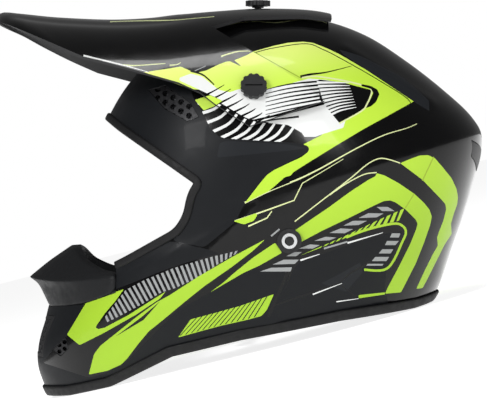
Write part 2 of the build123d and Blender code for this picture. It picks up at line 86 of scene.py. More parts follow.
EYE_PORT = [
    (-230, 75), (-112, 64), (-96, 51), (-60, 26), (-40, 12), (-46, 3), (-49, -12), (-56, -23), (-90, -42),
    (-99, -46), (-99.5, -64), (-124.5, -73), (-152, -76.3), (-230, -76.3),
]
NECK_LINE = [
    (-200, -146.3), (-135, -137.8), (-105, -130.1), (-94, -124.5), (-62, -108), (-14, -96), (54, -83),
    (108, -75.6), (128, -70.5), (200, -52.1),
]
NECK_FOOT = 3.0  # the shell's edge stands this far above the bead's foot
PORT_BEAD = (4.0, 1.6)  # how far a bead reaches over the shell, and past its edge
NECK_BEAD = (5.0, 3.0)
PEAK_SIDE = [
    (-200, 131), (-176, 122), (-122, 98), (-90, 89.5), (-56, 79.5), (-41, 72.5), (-31, 64.5), (-8, 49.5),
    (43, 67), (26, 81), (-4, 100), (-34, 120), (-12, 127.5), (30, 129), (50, 127), (52, 160), (-200, 160),
]
BROW_VENT = [(-78, 76), (-66, 79), (-48, 66), (-42, 56), (-50, 53), (-66, 62)]
CHIN_VENT = [(-147, -106), (-136, -96), (-134, -104), (-140, -110)]
REAR_VENT = [(20, 36), (52, 42), (50, 30), (22, 20)]
PIVOT = (-5.0, 73.0)
ANCHOR = (19.0, -28.0)


# ------------------------------------------------------------------ small helpers
def smooth_path(points, steps=6):
    """A curve through every point, as a list of points."""
    ends = [points[0]] + list(points) + [points[-1]]
    result = []
    for a, b, c, d in zip(ends, ends[1:], ends[2:], ends[3:]):
        for step in range(steps):
            t = step / steps
            result.append(tuple(
                0.5 * (
                    2 * q + (r - p) * t + (2 * p - 5 * q + 4 * r - s) * t * t
                    + (3 * q - p - 3 * r + s) * t**3
                )
                for p, q, r, s in zip(a, b, c, d)
            ))
    return result + [tuple(points[-1])]


def rounded(points, radius=1.5, steps=4):
    """A closed outline with its corners eased."""
    result = []
    for before, corner, after in zip([points[-1]] + points[:-1], points, points[1:] + [points[0]]):
        here = Vector(corner)
        one, two = Vector(before) - here, Vector(after) - here
        start = here + one.normalized() * min(radius, 0.45 * one.length)
        end = here + two.normalized() * min(radius, 0.45 * two.length)
        for step in range(steps + 1):
            t = step / steps
            result.append(tuple(start * (1 - t) ** 2 + here * 2 * t * (1 - t) + end * t * t))
    return result


def stroke(points, width, end_width=None, curved=True):
    """The outline of a line of that width, tapering to end_width."""
    path = [Vector(p) for p in (smooth_path(points) if curved and len(points) > 2 else points)]
    end_width = width if end_width is None else end_width
    left, right = [], []
    for i, here in enumerate(path):
        along = (path[min(i + 1, len(path) - 1)] - path[max(i - 1, 0)]).normalized()
        half = 0.5 * (width + (end_width - width) * i / (len(path) - 1))
        side = Vector((-along.y, along.x)) * half
        left.append(tuple(here + side))
        right.append(tuple(here - side))
    return left + right[::-1]


def between(path, share):
    """The point at a share of a path's length."""
    path = [Vector(p) for p in path]
    lengths = [(b - a).length for a, b in zip(path, path[1:])]
    target = share * sum(lengths)
    for a, b, length in zip(path, path[1:], lengths):
        if target <= length or b is path[-1]:
            return a.lerp(b, min(1.0, target / length))
        target -= length
    return path[-1]


def bars(upper, lower, count, duty=0.55, first=0.0, last=1.0):
    """Slanted bars from one path across to another."""
    outlines = []
    pitch = (last - first) / count
    for i in range(count):
        a = first + i * pitch
        b = a + duty * pitch
        outlines.append([
            tuple(between(upper, a)), tuple(between(upper, b)), tuple(between(lower, b)),
            tuple(between(lower, a)),
        ])
    return outlines


def dense(points, step, closed=True):
    """The same outline with no edge longer than step."""
    result = []
    pairs = list(zip(points, points[1:] + points[:1])) if closed else list(zip(points, points[1:]))
    for a, b in pairs:
        count = max(1, math.ceil(math.dist(a, b) / step))
        result += [(a[0] + (b[0] - a[0]) * i / count, a[1] + (b[1] - a[1]) * i / count) for i in range(count)]
    return result if closed else result + [tuple(points[-1])]


def stand(points):
    """Points of the worn frame, in millimetres, brought to where the helmet stands, in metres."""
    m = np.array(STAND)
    return np.asarray(points, dtype=float).reshape(-1, 3) @ m[:3, :3].T + m[:3, 3]


def new_object(name, points, faces, slots, face_slots=None, smooth=True):
    """A piece from points in the worn frame, with its materials."""
    mesh = bpy.data.meshes.new(name)
    mesh.from_pydata([tuple(p) for p in stand(points)], [], [tuple(f) for f in faces])
    for slot in slots:
        mesh.materials.append(slot)
    if face_slots is not None:
        mesh.polygons.foreach_set("material_index", face_slots)
    mesh.polygons.foreach_set("use_smooth", [smooth] * len(mesh.polygons))
    mesh.update()
    piece = bpy.data.objects.new(name, mesh)
    bpy.context.scene.collection.objects.link(piece)
    return piece


def recalculate(piece):
    """Merges doubles and points every face outwards."""
    mesh = bmesh.new()
    mesh.from_mesh(piece.data)
    bmesh.ops.remove_doubles(mesh, verts=mesh.verts, dist=1e-6)
    bmesh.ops.recalc_face_normals(mesh, faces=mesh.faces)
    mesh.to_mesh(piece.data)
    mesh.free()


def finish_piece(piece, body, slot, *nodes):
    """Says what a piece moves with and which nodes it stands for; the finish it is handed is not used."""
    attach(piece, body)
    if nodes:
        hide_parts(*nodes)
    return piece


def apply_modifiers(piece):
    """Turns a piece with modifiers into a plain mesh."""
    graph = bpy.context.evaluated_depsgraph_get()
    mesh = bpy.data.meshes.new_from_object(piece.evaluated_get(graph))
    piece.modifiers.clear()
    piece.data = mesh


# ------------------------------------------------------------------ the skin of the shell and of the peak
class Skin:
    """An egg-shaped skin: its outline in the middle plane, drawn in towards the head on each flank."""

    def __init__(self, outline, half_width):
        self.half_width = half_width
        points = smooth_path([outline[-1]] + outline + outline[:2], 12)[12:-12]
        table = sorted((math.atan2(z, y) % math.tau, math.hypot(y, z), n) for y, z, n in points)
        angles, radii, fullness = np.array(table).T
        self.angles = np.concatenate([angles - math.tau, angles, angles + math.tau])
        self.radii = np.tile(radii, 3)
        self.fullness = np.tile(fullness, 3)

    def rim(self, angle):
        angle = np.mod(angle, math.tau)
        return np.interp(angle, self.angles, self.radii), np.interp(angle, self.angles, self.fullness)

    def flank(self, y, z):
        """How far the skin stands from the middle plane, or 0 outside its outline."""
        radius, fullness = self.rim(np.arctan2(z, y))
        inside = np.clip(1 - (np.hypot(y, z) / radius) ** fullness, 0, 1)
        return self.half_width * inside ** (1 / fullness)

    def flat(self, y, z):
        """The place on the unit disc of a point of the side view."""
        angle = np.arctan2(z, y)
        radius, fullness = self.rim(angle)
        share = np.clip(np.hypot(y, z) / radius, 0, 4) ** (fullness / 2)
        turn = np.where(share < 1, np.arcsin(np.clip(share, 0, 1)) / (math.pi / 2), share)
        return turn * np.cos(angle), turn * np.sin(angle)

    def seen(self, y, z):
        """Where the line from the eye through a point of the middle plane meets the skin: y, z there."""
        y, z = np.asarray(y, float), np.asarray(z, float)
        near, far = np.full(y.shape, 0.08), np.zeros(y.shape)
        for _ in range(26):
            middle = (near + far) / 2
            py, pz = y + middle * (EYE[1] - y), z + middle * (EYE[2] - z)
            outside = middle * EYE[0] > self.flank(py, pz)
            near = np.where(outside, middle, near)
            far = np.where(outside, far, middle)
        return y + near * (EYE[1] - y), z + near * (EYE[2] - z)

    def place(self, u, v):
        """The skin's points over places on the unit disc."""
        angle = np.arctan2(v, u)
        turn = np.clip(np.hypot(u, v), 0, 1) * math.pi / 2
        radius, fullness = self.rim(angle)
        reach = radius * np.sin(turn) ** (2 / fullness)
        x = self.half_width * np.cos(turn) ** (2 / fullness)
        return np.stack([x, reach * np.cos(angle), reach * np.sin(angle)], axis=-1)

    def normals(self, u, v, step=0.004):
        """Outward directions, from neighbouring points on the disc."""
        size = np.hypot(u, v)
        pull = np.where(size > 1 - 2 * step, (1 - 2 * step) / np.maximum(size, 1e-9), 1.0)
        uu, vv = u * pull, v * pull
        uu = np.where(size < 1e-3, 2e-3, uu)
        du = self.place(uu + step, vv) - self.place(uu - step, vv)
        dv = self.place(uu, vv + step) - self.place(uu, vv - step)
        n = np.cross(du, dv)
        n /= np.linalg.norm(n, axis=-1, keepdims=True)
        outward = self.place(uu, vv)
        n *= np.sign(np.sum(n * outward, axis=-1, keepdims=True))
        on_seam = size > 0.9999
        n[on_seam, 0] = 0.0
        return n / np.linalg.norm(n, axis=-1, keepdims=True)


def disc_points(spacing, perimeter=900.0):
    """Rings of evenly spaced places on the unit disc, the last ring being its rim."""
    rings = int(170 / spacing)
    places = [(0.0, 0.0)]
    for ring in range(1, rings + 1):
        size = ring / rings
        count = max(6, 2 * int(perimeter * math.sin(size * math.pi / 2) ** 0.9 / spacing / 2))
        shift = 0.5 * (ring % 2) if ring < rings else 0.0
        places += [
            (size * math.cos(math.tau * (i + shift) / count), size * math.sin(math.tau * (i + shift) / count))
            for i in range(count)
        ]
    return places, count


EDGE_STEP = 2.2  # no printed edge is longer than this, in millimetres
SEAM_SIZE = 0.99985  # disc points further out than this lie on the middle seam


def build_skin(name, skin, wall, spacing, keep, holes, art, slots, inner_slot, shape=None, plain=None):
    """A printed skin with a real wall: art is a list of (slot index, outline), the later over the earlier."""
    places, rim_count = disc_points(spacing)
    rim_start = len(places) - rim_count
    loops = [list(range(rim_start, len(places)))]
    kinds = ["rim"]
    marks = [None]

    def add(outline, kind, mark, projected):
        points = np.array(dense(outline, EDGE_STEP))
        y, z = skin.seen(points[:, 0], points[:, 1]) if projected else points.T
        u, v = skin.flat(y, z)
        if np.sum(u * np.roll(v, -1) - np.roll(u, -1) * v) < 0:
            u, v = u[::-1], v[::-1]
        loops.append(list(range(len(places), len(places) + len(u))))
        places.extend(zip(u.tolist(), v.tolist()))
        kinds.append(kind)
        marks.append(mark)

    if keep is not None:
        add(keep, "keep", None, False)
    for hole, projected in holes:
        add(hole, "hole", None, projected)
    for slot, outline in art:
        add(outline, "art", slot, True)
    flat, _, faces, _, _, face_origins = delaunay_2d_cdt(
        [Vector(p) for p in places], [], loops, 0, 1e-5, True
    )
    picked, face_slots = [], []
    for face, sources in zip(faces, face_origins):
        found = {kinds[s] for s in sources}
        if "rim" not in found or "hole" in found or (keep is not None and "keep" not in found):
            continue
        layers = [s for s in sources if kinds[s] == "art"]
        picked.append(face)
        face_slots.append(marks[max(layers)] if layers else plain)
    used = sorted({i for face in picked for i in face})
    index = {old: new for new, old in enumerate(used)}
    u = np.array([flat[i].x for i in used])
    v = np.array([flat[i].y for i in used])
    size = np.hypot(u, v)
    seam = size > SEAM_SIZE
    u, v = np.where(seam, u / np.maximum(size, 1e-9), u), np.where(seam, v / np.maximum(size, 1e-9), v)
    outer = skin.place(u, v)
    normals = skin.normals(u, v)
    if shape is not None:
        outer, normals = shaped(outer, normals, shape, seam)
    outer[seam, 0] = 0.0
    inner = outer - normals * wall
    inner[seam, 0] = 0.0
    left = [[index[i] for i in face] for face in picked]

    count = len(used)
    twin = np.arange(count) + 2 * count  # outer left, inner left, outer right, inner right
    twin[seam] = np.arange(count)[seam]
    twin_inner = twin + count
    twin_inner[seam] = np.arange(count)[seam] + count
    flip = np.array([-1.0, 1.0, 1.0])
    points = np.concatenate([outer, inner, outer * flip, inner * flip])
    all_normals = np.concatenate([normals, -normals, normals * flip, -normals * flip])

    # Every face comes four times: outside and inside, left and right. Two of them turn the other way.
    faces, marks_out = [], []
    edges = {}
    for face, slot in zip(left, face_slots):
        faces.append(face)
        marks_out.append(slot)
        faces.append([i + count for i in reversed(face)])
        marks_out.append(inner_slot)
        faces.append([int(twin[i]) for i in reversed(face)])
        marks_out.append(slot)
        faces.append([int(twin_inner[i]) for i in face])
        marks_out.append(inner_slot)
        for a, b in zip(face, face[1:] + face[:1]):
            edges[(a, b)] = edges.get((a, b), 0) + 1
    border = [(a, b) for a, b in edges if (b, a) not in edges and not (seam[a] and seam[b])]
    for a, b in border:
        faces.append([b, a, a + count, b + count])
        marks_out.append(inner_slot)
        faces.append([int(twin[a]), int(twin[b]), int(twin_inner[b]), int(twin_inner[a])])
        marks_out.append(inner_slot)
    walls = 2 * len(border)
    piece = new_object(name, points, faces, slots, marks_out)
    mesh = piece.data
    loop_vertices = np.empty(len(mesh.loops), dtype=np.int32)
    mesh.loops.foreach_get("vertex_index", loop_vertices)
    turn = np.array(STAND.to_3x3()) / MM
    loop_normals = (all_normals @ turn.T)[loop_vertices]
    for polygon in mesh.polygons[len(mesh.polygons) - walls:]:
        for i in polygon.loop_indices:
            loop_normals[i] = polygon.normal
    mesh.normals_split_custom_set([tuple(n) for n in loop_normals])
    return piece


def shaped(points, normals, shape, seam):
    """Moves a skin's points along their normals by a relief, and turns the normals to suit."""
    height = shape(points)
    step = 0.8  # millimetres either side of a point, for its slope
    not_along = np.where(np.abs(normals[:, :1]) > 0.9, [[0.0, 1.0, 0.0]], [[1.0, 0.0, 0.0]])
    one = np.cross(normals, not_along)
    one /= np.linalg.norm(one, axis=1, keepdims=True)
    two = np.cross(normals, one)
    slope_one = (shape(points + one * step) - shape(points - one * step)) / (2 * step)
    slope_two = (shape(points + two * step) - shape(points - two * step)) / (2 * step)
    turned = normals - one * slope_one[:, None] - two * slope_two[:, None]
    turned[seam, 0] = 0.0
    turned /= np.linalg.norm(turned, axis=1, keepdims=True)
    return points + normals * height[:, None], turned


SHELL = Skin(SHELL_OUTLINE, SHELL_HALF_WIDTH)
PEAK = Skin(PEAK_OUTLINE, PEAK_HALF_WIDTH)

# ------------------------------------------------------------------ printed graphics and painted highlights, the lowest layer first
# The lighter satin slot is a painted highlight: satin made lighter where light catches a facet or ridge.
BLACK, SATIN, SATIN_HIGHLIGHT, YELLOW, WHITE, GREY, CREAM, DEEP, INSIDE = range(9)
ART = []


def print_area(slot, *points, ease=1.0):
    """Prints a filled outline with eased corners."""
    ART.append((slot, rounded(list(points), ease)))


def print_line(slot, width, *points, end=None, curved=True):
    """Prints a line that may taper to another width."""
    ART.append((slot, stroke(list(points), width, end, curved)))


def draw_mouldings():
    print_area(
        SATIN, (-112, 90), (-84, 91), (-50, 90), (-49, 75), (-44, 68), (-40, 60), (-36, 52), (-30, 46),
        (-25, 44.3), (-5, 43), (20, 41.5), (30, 40.3), (34, 38.8), (35.5, 37), (34.5, 34.5), (25, 29),
        (10, 21.5), (5, 18), (0, 12), (-6, 4), (-11, -2.5), (-18, -16), (-40, -34), (-62, -30), (-70, 20),
        (-118, 60), (-124, 80), ease=3,
    )
    print_area(
        SATIN, (-175, -40), (-120, -30), (-62, -30), (-36, -36), (0, -50), (22, -52), (9, -90), (-60, -140),
        (-175, -165), ease=4,
    )
    print_area(
        SATIN, (24, -50), (30, -43), (46, -38.5), (63, -32.5), (89, -24.5), (103, -22), (91, -50),
        (90, -64), (96, -90), (60, -100), (7, -90), ease=1.5,
    )
    # Painted highlight: a facet of the lower panel made lighter where light falls on it.
    print_area(SATIN_HIGHLIGHT, (72, -45), (56, -54), (44, -60), (62, -66), (74, -52), ease=1)
    print_line(BLACK, 1.6, (83, -43), (66, -52), (57, -60), (69, -70), curved=False, end=0.6)
    print_line(BLACK, 1.0, (10, -76), (34, -68), (57, -60), curved=False)
    print_line(BLACK, 2.2, (20, -52), (13, -68), (6, -84))
    print_area(
        BLACK, (-157, -117), (-146, -105), (-138, -97), (-125, -72), (-98, -62), (-60, -47), (-10, -33),
        (12, -29), (17, -40), (-10, -52), (-60, -80), (-95, -115), (-110, -124), (-123, -128), ease=3,
    )


def draw_crown():
    print_area(
        YELLOW, (-84, 91.8), (-57, 96), (-49, 92.5), (-44, 92), (-38, 93.5), (-30, 97.5), (-24.5, 99.5),
        (-20, 100), (-10, 104), (-4.5, 107), (10, 111), (20, 113.2), (31, 114), (38, 113.2), (48, 109.3),
        (57, 105), (85, 88.6), (111.3, 71.3), (90, 59.5), (75, 51.3), (55, 39.3), (35, 27), (24, 20),
        (22, 17.5), (18, 16.5), (6.2, 6.3), (-11, -2.2), (0, 12), (4, 17.5), (8, 20.5), (20, 26.3),
        (30, 31), (34.5, 34.5), (35.5, 37), (34, 39), (31, 40), (45, 47), (40, 70), (0, 75), (-50, 80),
    )
    print_line(BLACK, 1.6, (-50, 93), (-41, 90), (-33, 83), end=0.8)
    print_line(BLACK, 2.6, (-21, 101), (-14, 96.6), end=0.4)
    print_line(
        BLACK, 0.6, (24, 18.5), (57, 38.9), (75, 50), (100, 63), (108, 70.8), (85, 86.5), (57, 102.5),
        (45, 108.5), (33, 112.5), (10, 109.5), (-4, 106),
    )
    print_line(DEEP, 0.6, (-5, 107), (29, 88), curved=False)
    print_line(BLACK, 2.2, (29, 88.6), (36, 90.4), (48, 92), (66, 96.5), end=0.3)
    print_area(
        WHITE, (-58, 88), (-50, 91), (-42, 89), (-30, 79.5), (-22, 77.5), (-16, 79.5), (-3, 81.5),
        (5, 79.5), (30, 86), (35, 87.5), (47, 86.5), (58, 84.5), (64, 66), (60, 52), (45, 47.5), (40, 45.5),
        (30, 45.5), (30, 41), (-20, 43.5), (-30, 45.5), (-36, 52), (-41, 63), (-28, 72), (-45, 80),
        (-58, 86),
    )
    for i in range(7):
        print_line(BLACK, 0.5, (4, 79.5 - 3 * i), (22, 83.5 - 3 * i), (44, 85.5 - 2.6 * i), end=1.5)
    print_line(BLACK, 0.7, (-12, 56), (10, 60.5), (50, 71), end=2.8)
    print_line(BLACK, 0.6, (-10, 54), (8, 57.5), (28, 60), end=1.5)
    edge = [
        (-46, 71), (-43, 66), (-40, 60), (-36, 52), (-30, 45.2), (-20, 43.2), (-5, 42), (12, 41),
        (30, 39.5),
    ]
    divide = [(-47, 77), (-38, 74), (-28, 69), (-18, 63), (-8, 58), (6, 55.5), (20, 54), (30, 48.5)]
    print_area(BLACK, *edge, (33, 44), *divide[::-1], ease=0.5)
    for i in range(10):
        a = between(edge, 0.02 + 0.085 * i)
        b = between(divide, 0.16 + 0.084 * i)
        bend = (a.x + 0.62 * (b.x - a.x), a.y + 0.42 * (b.y - a.y))
        print_line(WHITE, 2.3, tuple(a), bend, tuple(b), end=1.7)
    print_line(BLACK, 1.5, *divide[:6], end=0.8)
    for i in range(8):
        a = between(divide, 0.08 + 0.075 * i)
        print_line(BLACK, 1.7, tuple(a), (a.x + 7, a.y + 3.4), (a.x + 15 - i, a.y + 8 - 0.5 * i), end=0.4)
    print_area(
        BLACK, (42, 86.8), (60, 84.5), (75, 80.5), (79.5, 79.5), (80.5, 76.5), (78, 70), (74, 64.5),
        (57, 55.5), (50, 64), (48, 67), (43, 72),
    )
    for i in range(10):
        print_line(
            WHITE, 2.0, (41 + 0.9 * i, 84.6 - 2.7 * i), (54 + 0.4 * i, 84.6 - 2.25 * i),
            (64 + 0.6 * i, 84.3 - 1.95 * i), end=0.3,
        )
    print_line(
        CREAM, 1.1, (30, 88), (40, 89), (60, 86), (76, 82), (80, 79.5), (80, 76), (77, 69), (73, 64),
        (57, 55),
    )
    print_area(
        BLACK, (73, 83.5), (80, 82), (84.5, 79.5), (86, 76), (83.5, 70.5), (80, 67.5), (76, 66), (79, 71.5),
        (81.5, 77), (80, 80), (73, 82),
    )
    print_area(YELLOW, (-47, 72), (-40.5, 64.5), (-33, 67.5), (-27, 71.5), (-36, 75.5))
    # Painted reflection: a lighter patch where the rear ridge of the gloss crown catches the light.
    print_area(SATIN_HIGHLIGHT, (57, 108), (72, 103), (103, 88), (121, 71), (122, 64), (112, 70), (60, 104.5))


def draw_temple():
    print_area(
        SATIN, (-49, 75), (-44, 68), (-40, 60), (-36, 52), (-30, 46), (-25, 44.3), (-5, 43), (20, 41.5),
        (30, 40.3), (34, 38.8), (35.5, 37), (34.5, 34.5), (25, 29), (10, 21.5), (5, 18), (0, 12), (-20, 8),
        (-46, 16), (-58, 45), (-54, 72),
    )
    # Painted highlight: a lighter strip of satin just under the brow edge.
    print_area(
        SATIN_HIGHLIGHT, (-31, 30.5), (-29, 41), (-24, 42.5), (20, 40), (33, 37.5), (25, 36), (-5, 33), ease=2,
    )


def draw_flank():
    print_line(
        CREAM, 1.4, (-11, -2), (5, 5.8), (22, 12.7), (30, 16), (45, 23.5), (60, 32), (75, 40), (90, 47),
        (105, 51.5), (113, 54.8), end=0.5,
    )
    print_area(BLACK, (6.3, 6.3), (8.5, 10), (10.5, 13), (17.5, 16), (20, 15), (22, 12.8))
    print_line(
        CREAM, 1.2, (-18, -15.2), (2, -8.4), (24.5, -0.3), (30.5, 12), (45, 20.5), (60, 29.5), end=0.4,
        curved=False,
    )
    print_area(YELLOW, (-19, -15.3), (-3, -9.6), (-2, -11), (-4.5, -15), (-11.5, -17.6))
    print_line(CREAM, 1.1, (-8.5, -19), (5, -13), (8.5, -8), end=0.7, curved=False)
    print_line(GREY, 1.2, (8, -26), (14, -21), curved=False)
    print_line(
        CREAM, 0.8, (25, -15.5), (45, 0), (65, 15.5), (75, 24), (82, 28.5), (88, 30), (95, 28.5),
        (101, 26.5),
    )
    print_area(
        YELLOW, (101, 26.5), (108, 29.5), (115, 32), (121, 32.3), (126, 30), (132, 23), (138, 15.5),
        (141.5, 8), (142.5, 2), (142, -3), (139.5, -10), (137.5, -17), (138, -24.5), (133, -32), (126, -46),
        (120, -58), (117, -63.5), (112.5, -64), (119, -50), (125, -38), (128, -33), (127.5, -27),
        (129, -22.5), (132, -15), (134, -7), (133.5, -3), (130, 1), (117, 14.5),
    )
    print_line(DEEP, 0.8, (125, 31), (117, 14), curved=False)
    print_area(
        YELLOW, (25, -22), (50, -5), (65, 6), (78, 14.5), (83, 17), (84, 19.3), (90, 17.5), (100, 12),
        (111, 4.5), (118, -2), (122, -7), (123.7, -12), (122.5, -18), (118, -31), (112, -46),
        (101.5, -66.5), (90, -67.5), (92, -63), (100, -48), (108, -32), (112.5, -21), (113.5, -17),
        (112, -14), (105, -7), (98, -2), (94, -0.3), (89, -0.8), (80, -5), (65, -12.5), (45, -22),
        (29, -30.5), (27.5, -26),
    )
    print_line(DEEP, 0.8, (111, 4.5), (104.5, -6), curved=False)
    print_line(CREAM, 0.8, (50, 3.5), (60, 10.5), (70, 16.2), (77, 19), (84, 19.7))
    grey_bars = [
        [(84, -5), (92, -5), (97, -8), (88, -8)], [(78, -9.5), (89, -9.7), (84, -12.5), (71, -13)],
        [(67, -15), (77, -15), (71, -18), (60, -18.5)], [(58, -20.5), (67, -21), (61, -24), (50, -23.7)],
        [(47, -26.5), (55, -27), (50, -29), (39, -29.5)], [(36, -32), (43, -32.5), (38, -35), (28, -35)],
        [(25, -37.5), (30, -37.5), (26, -40.5), (19, -40.5)], [(17, -43), (28, -43), (25, -46), (9, -46.5)],
        [(8, -48.8), (23, -48.5), (22, -51.5), (0, -51.5)],
        [(95, -24), (101, -24), (100, -27), (93.5, -27)],
        [(91.5, -29.5), (100, -29.5), (97.5, -32.5), (90, -32.5)],
        [(88, -35.5), (96, -35.5), (94, -38.5), (85.5, -38.5)],
        [(83, -41), (93, -41), (91, -44), (80.5, -44)],
        [(77.5, -46), (89, -46), (88, -47.3), (76.5, -47.3)],
    ]
    print_area(YELLOW, (71, -68.5), (90, -66.5), (90, -68), (71, -70.8), ease=0.5)
    print_area(
        YELLOW, (29, -40), (60, -26.5), (85, -14.5), (104, -6), (100, -15), (88, -17.6), (75, -21),
        (60, -28),
    )
    for outline in bars([(46, -32), (85, -14.5), (104, -6)], [(42, -36), (75, -22), (100, -18)], 12, 0.42):
        ART.append((BLACK, outline))
    for outline in grey_bars:
        print_area(GREY, *outline, ease=0.3)
    # The third line, from (38, -68) to (59, -60), is a painted highlight along a facet edge of the lower
    # panel.
    tapers = [
        ((63, -31), (88.5, -23.5), 1.2), ((29, -43.5), (43, -39), 1.2), ((38, -68), (59, -60), 1.0),
        ((55, -73.3), (71, -71), 0.8),
    ]
    for a, b, width in tapers:
        print_line(WHITE, width, a, b, end=0.4, curved=False)
    print_line(GREY, 1.2, (46, -35), (63, -30), curved=False)
    print_line(
        YELLOW, 1.7, (62, -27), (75, -22), (88, -18.5), (98, -17), (103, -19), (105, -23), (103, -29),
        (92, -49), (75, -50.2),
    )


def draw_chin():
    print_area(
        YELLOW, (-125, -73.5), (-98, -64.2), (-104, -72.5), (-112, -82), (-118.5, -91.5), (-117, -93),
        (-112, -92), (-95, -83), (-80, -73.5), (-68, -66), (-72, -71), (-90, -83), (-112, -95.5),
        (-130, -104.5), (-139, -97),
    )
    upper = [(-113, -86), (-97, -65), (-84, -58), (-62, -49), (-35, -41), (-12, -35.5)]
    lower = [(-112, -89), (-98, -82), (-85, -75), (-72, -67), (-60, -63), (-45, -56), (-30, -46), (-14, -37)]
    for outline in bars(upper, lower, 30, 0.5, 0.02, 0.98):
        ART.append((GREY, outline))
    print_area(
        YELLOW, (3.5, -28.5), (-20, -41), (-45, -55.5), (-65, -68.5), (-75, -74), (-88, -83.5), (-105, -97),
        (-115, -105), (-119.5, -111), (-123.3, -125.7), (-110, -123), (-100, -118.5), (-95.5, -114),
        (-88, -104), (-80, -94.5), (-70, -86.5), (-55, -74), (-40, -62), (-20, -48), (-5, -36.5),
    )
    print_area(BLACK, (-104, -98.3), (-85, -84), (-72, -73), (-84, -86.5), ease=0.4)
    print_area(
        YELLOW, (10.8, -30.8), (15.8, -38), (0, -47), (-12, -52.5), (-24, -59.5), (-36, -66.5), (-27, -60),
        (-18, -52), (-5, -41.5),
    )
    print_area(
        YELLOW, (-59, -99), (-50, -86), (-35, -82), (-15, -76.5), (10, -67.8), (5, -79), (1, -83.5),
        (-8, -86), (-30, -91), (-50, -96.5),
    )
    top = [(-48, -85.5), (-35, -82), (-15, -76.5), (9, -68)]
    foot = [(-60, -98.5), (-50, -96), (-30, -90.5), (0, -83.5)]
    for outline in bars(top, foot, 14, 0.26, 0.03, 0.99):
        ART.append((BLACK, outline))


def draw_peak():
    # Painted highlight along the top edge of the peak, in cream.
    print_line(CREAM, 0.45, (-108, 128.6), (-80, 129.5), (-60, 130.5), (-33, 132))
    # Painted highlight along a ridge of the peak, in cream.
    print_line(
        CREAM, 0.6, (-31, 124.5), (-18, 127), (-5, 128.5), (12, 127.8), (28, 129.8), (40, 129.5),
        (48, 127.5),
    )
    print_line(CREAM, 1.1, (-28, 103.5), (-18, 106.5), (-12, 107.2), (-7, 107.2), end=0.4)
    print_line(CREAM, 1.0, (-99, 97.3), (-90, 96.8), (-75, 97.8), (-68, 98.3), end=0.4)
    print_line(CREAM, 0.9, (-65, 97), (-60, 97.5), (-57, 99), end=0.4)
    print_line(GREY, 0.6, (-47, 93), (-39, 96.5), curved=False)
    # Painted highlight along the near lower edge of the peak, in white.
    print_line(WHITE, 1.3, (-127, 104), (-100, 97.5), (-80, 92), end=0.4)


# ------------------------------------------------------------------ shader trees written like arithmetic
class Wire:
    """An output in a shader tree that adds, multiplies and compares like a number."""

    def __init__(self, shader, socket):
        self.shader = shader
        self.socket = socket

    def math(self, operation, *others, clamp=False):
        return self.shader.node("ShaderNodeMath", self, *others, operation=operation, use_clamp=clamp)

    def __add__(self, other):
        return self.math("ADD", other)

    __radd__ = __add__

    def __sub__(self, other):
        return self.math("SUBTRACT", other)

    def __rsub__(self, other):
        return self.shader.node("ShaderNodeMath", other, self, operation="SUBTRACT")

    def __mul__(self, other):
        return self.math("MULTIPLY", other)

    __rmul__ = __mul__

    def __truediv__(self, other):
        return self.math("DIVIDE", other)

    def __rtruediv__(self, other):
        return self.shader.node("ShaderNodeMath", other, self, operation="DIVIDE")

    def __pow__(self, other):
        return self.math("POWER", other)

    def step(self, low, high):
        """0 below low, 1 above high, a soft ramp between them."""
        return self.shader.node(
            "ShaderNodeMapRange", self, low, high, 0.0, 1.0, interpolation_type="SMOOTHSTEP",
        )


class Finish:
    """A material made of procedural nodes in object space."""

    def __init__(self, name, color, roughness, metallic=0.0, coat=0.0, coat_roughness=0.06, **sockets):
        self.material = bpy.data.materials.new(name)
        self.material.use_nodes = True
        self.tree = self.material.node_tree
        self.shader = next(n for n in self.tree.nodes if n.type == "BSDF_PRINCIPLED")
        self.set("Base Color", color)
        self.set("Roughness", roughness)
        self.set("Metallic", metallic)
        self.set("Coat Weight", coat)
        self.set("Coat Roughness", coat_roughness)
        for socket, value in sockets.items():
            self.set(socket.replace("_", " "), value)
        self.place = Wire(self, self.add("ShaderNodeTexCoord").outputs["Object"])

    def add(self, kind):
        return self.tree.nodes.new(kind)

    def put(self, socket, value):
        """Links an output to a socket, or sets the socket's own value."""
        if isinstance(value, Wire):
            self.tree.links.new(value.socket, socket)
            return
        if isinstance(value, tuple) and len(value) == 3 and socket.type == "RGBA":
            value = (*value, 1.0)
        socket.default_value = value

    def node(self, kind, *values, output=0, inputs=None, **settings):
        """One node of any kind: its settings, its inputs in order or by name, and one of its outputs."""
        made = self.add(kind)
        for name, value in settings.items():
            setattr(made, name, value)
        for i, value in enumerate(values):
            if value is not None:
                self.put(made.inputs[i], value)
        for name, value in (inputs or {}).items():
            self.put(made.inputs[name], value)
        return Wire(self, made.outputs[output])

    def set(self, socket, value):
        self.put(self.shader.inputs[socket], value)

    def noise(self, scale, detail=3.0, place=None):
        inputs = {"Vector": place or self.place, "Scale": scale, "Detail": detail}
        return self.node("ShaderNodeTexNoise", inputs=inputs)

    def bump(self, height, strength, distance):
        inputs = {"Height": height, "Strength": strength, "Distance": distance}
        self.set("Normal", self.node("ShaderNodeBump", inputs=inputs))

    def mix(self, factor, one, two):
        """A colour between two others."""
        made = self.add("ShaderNodeMix")
        made.data_type = "RGBA"
        self.put(made.inputs["Factor"], factor)
        colours = [s for s in made.inputs if s.type == "RGBA"]
        self.put(colours[0], one)
        self.put(colours[1], two)
        return Wire(self, next(s for s in made.outputs if s.type == "RGBA"))

    def axis(self, index):
        return self.node("ShaderNodeSeparateXYZ", self.place, output=index)


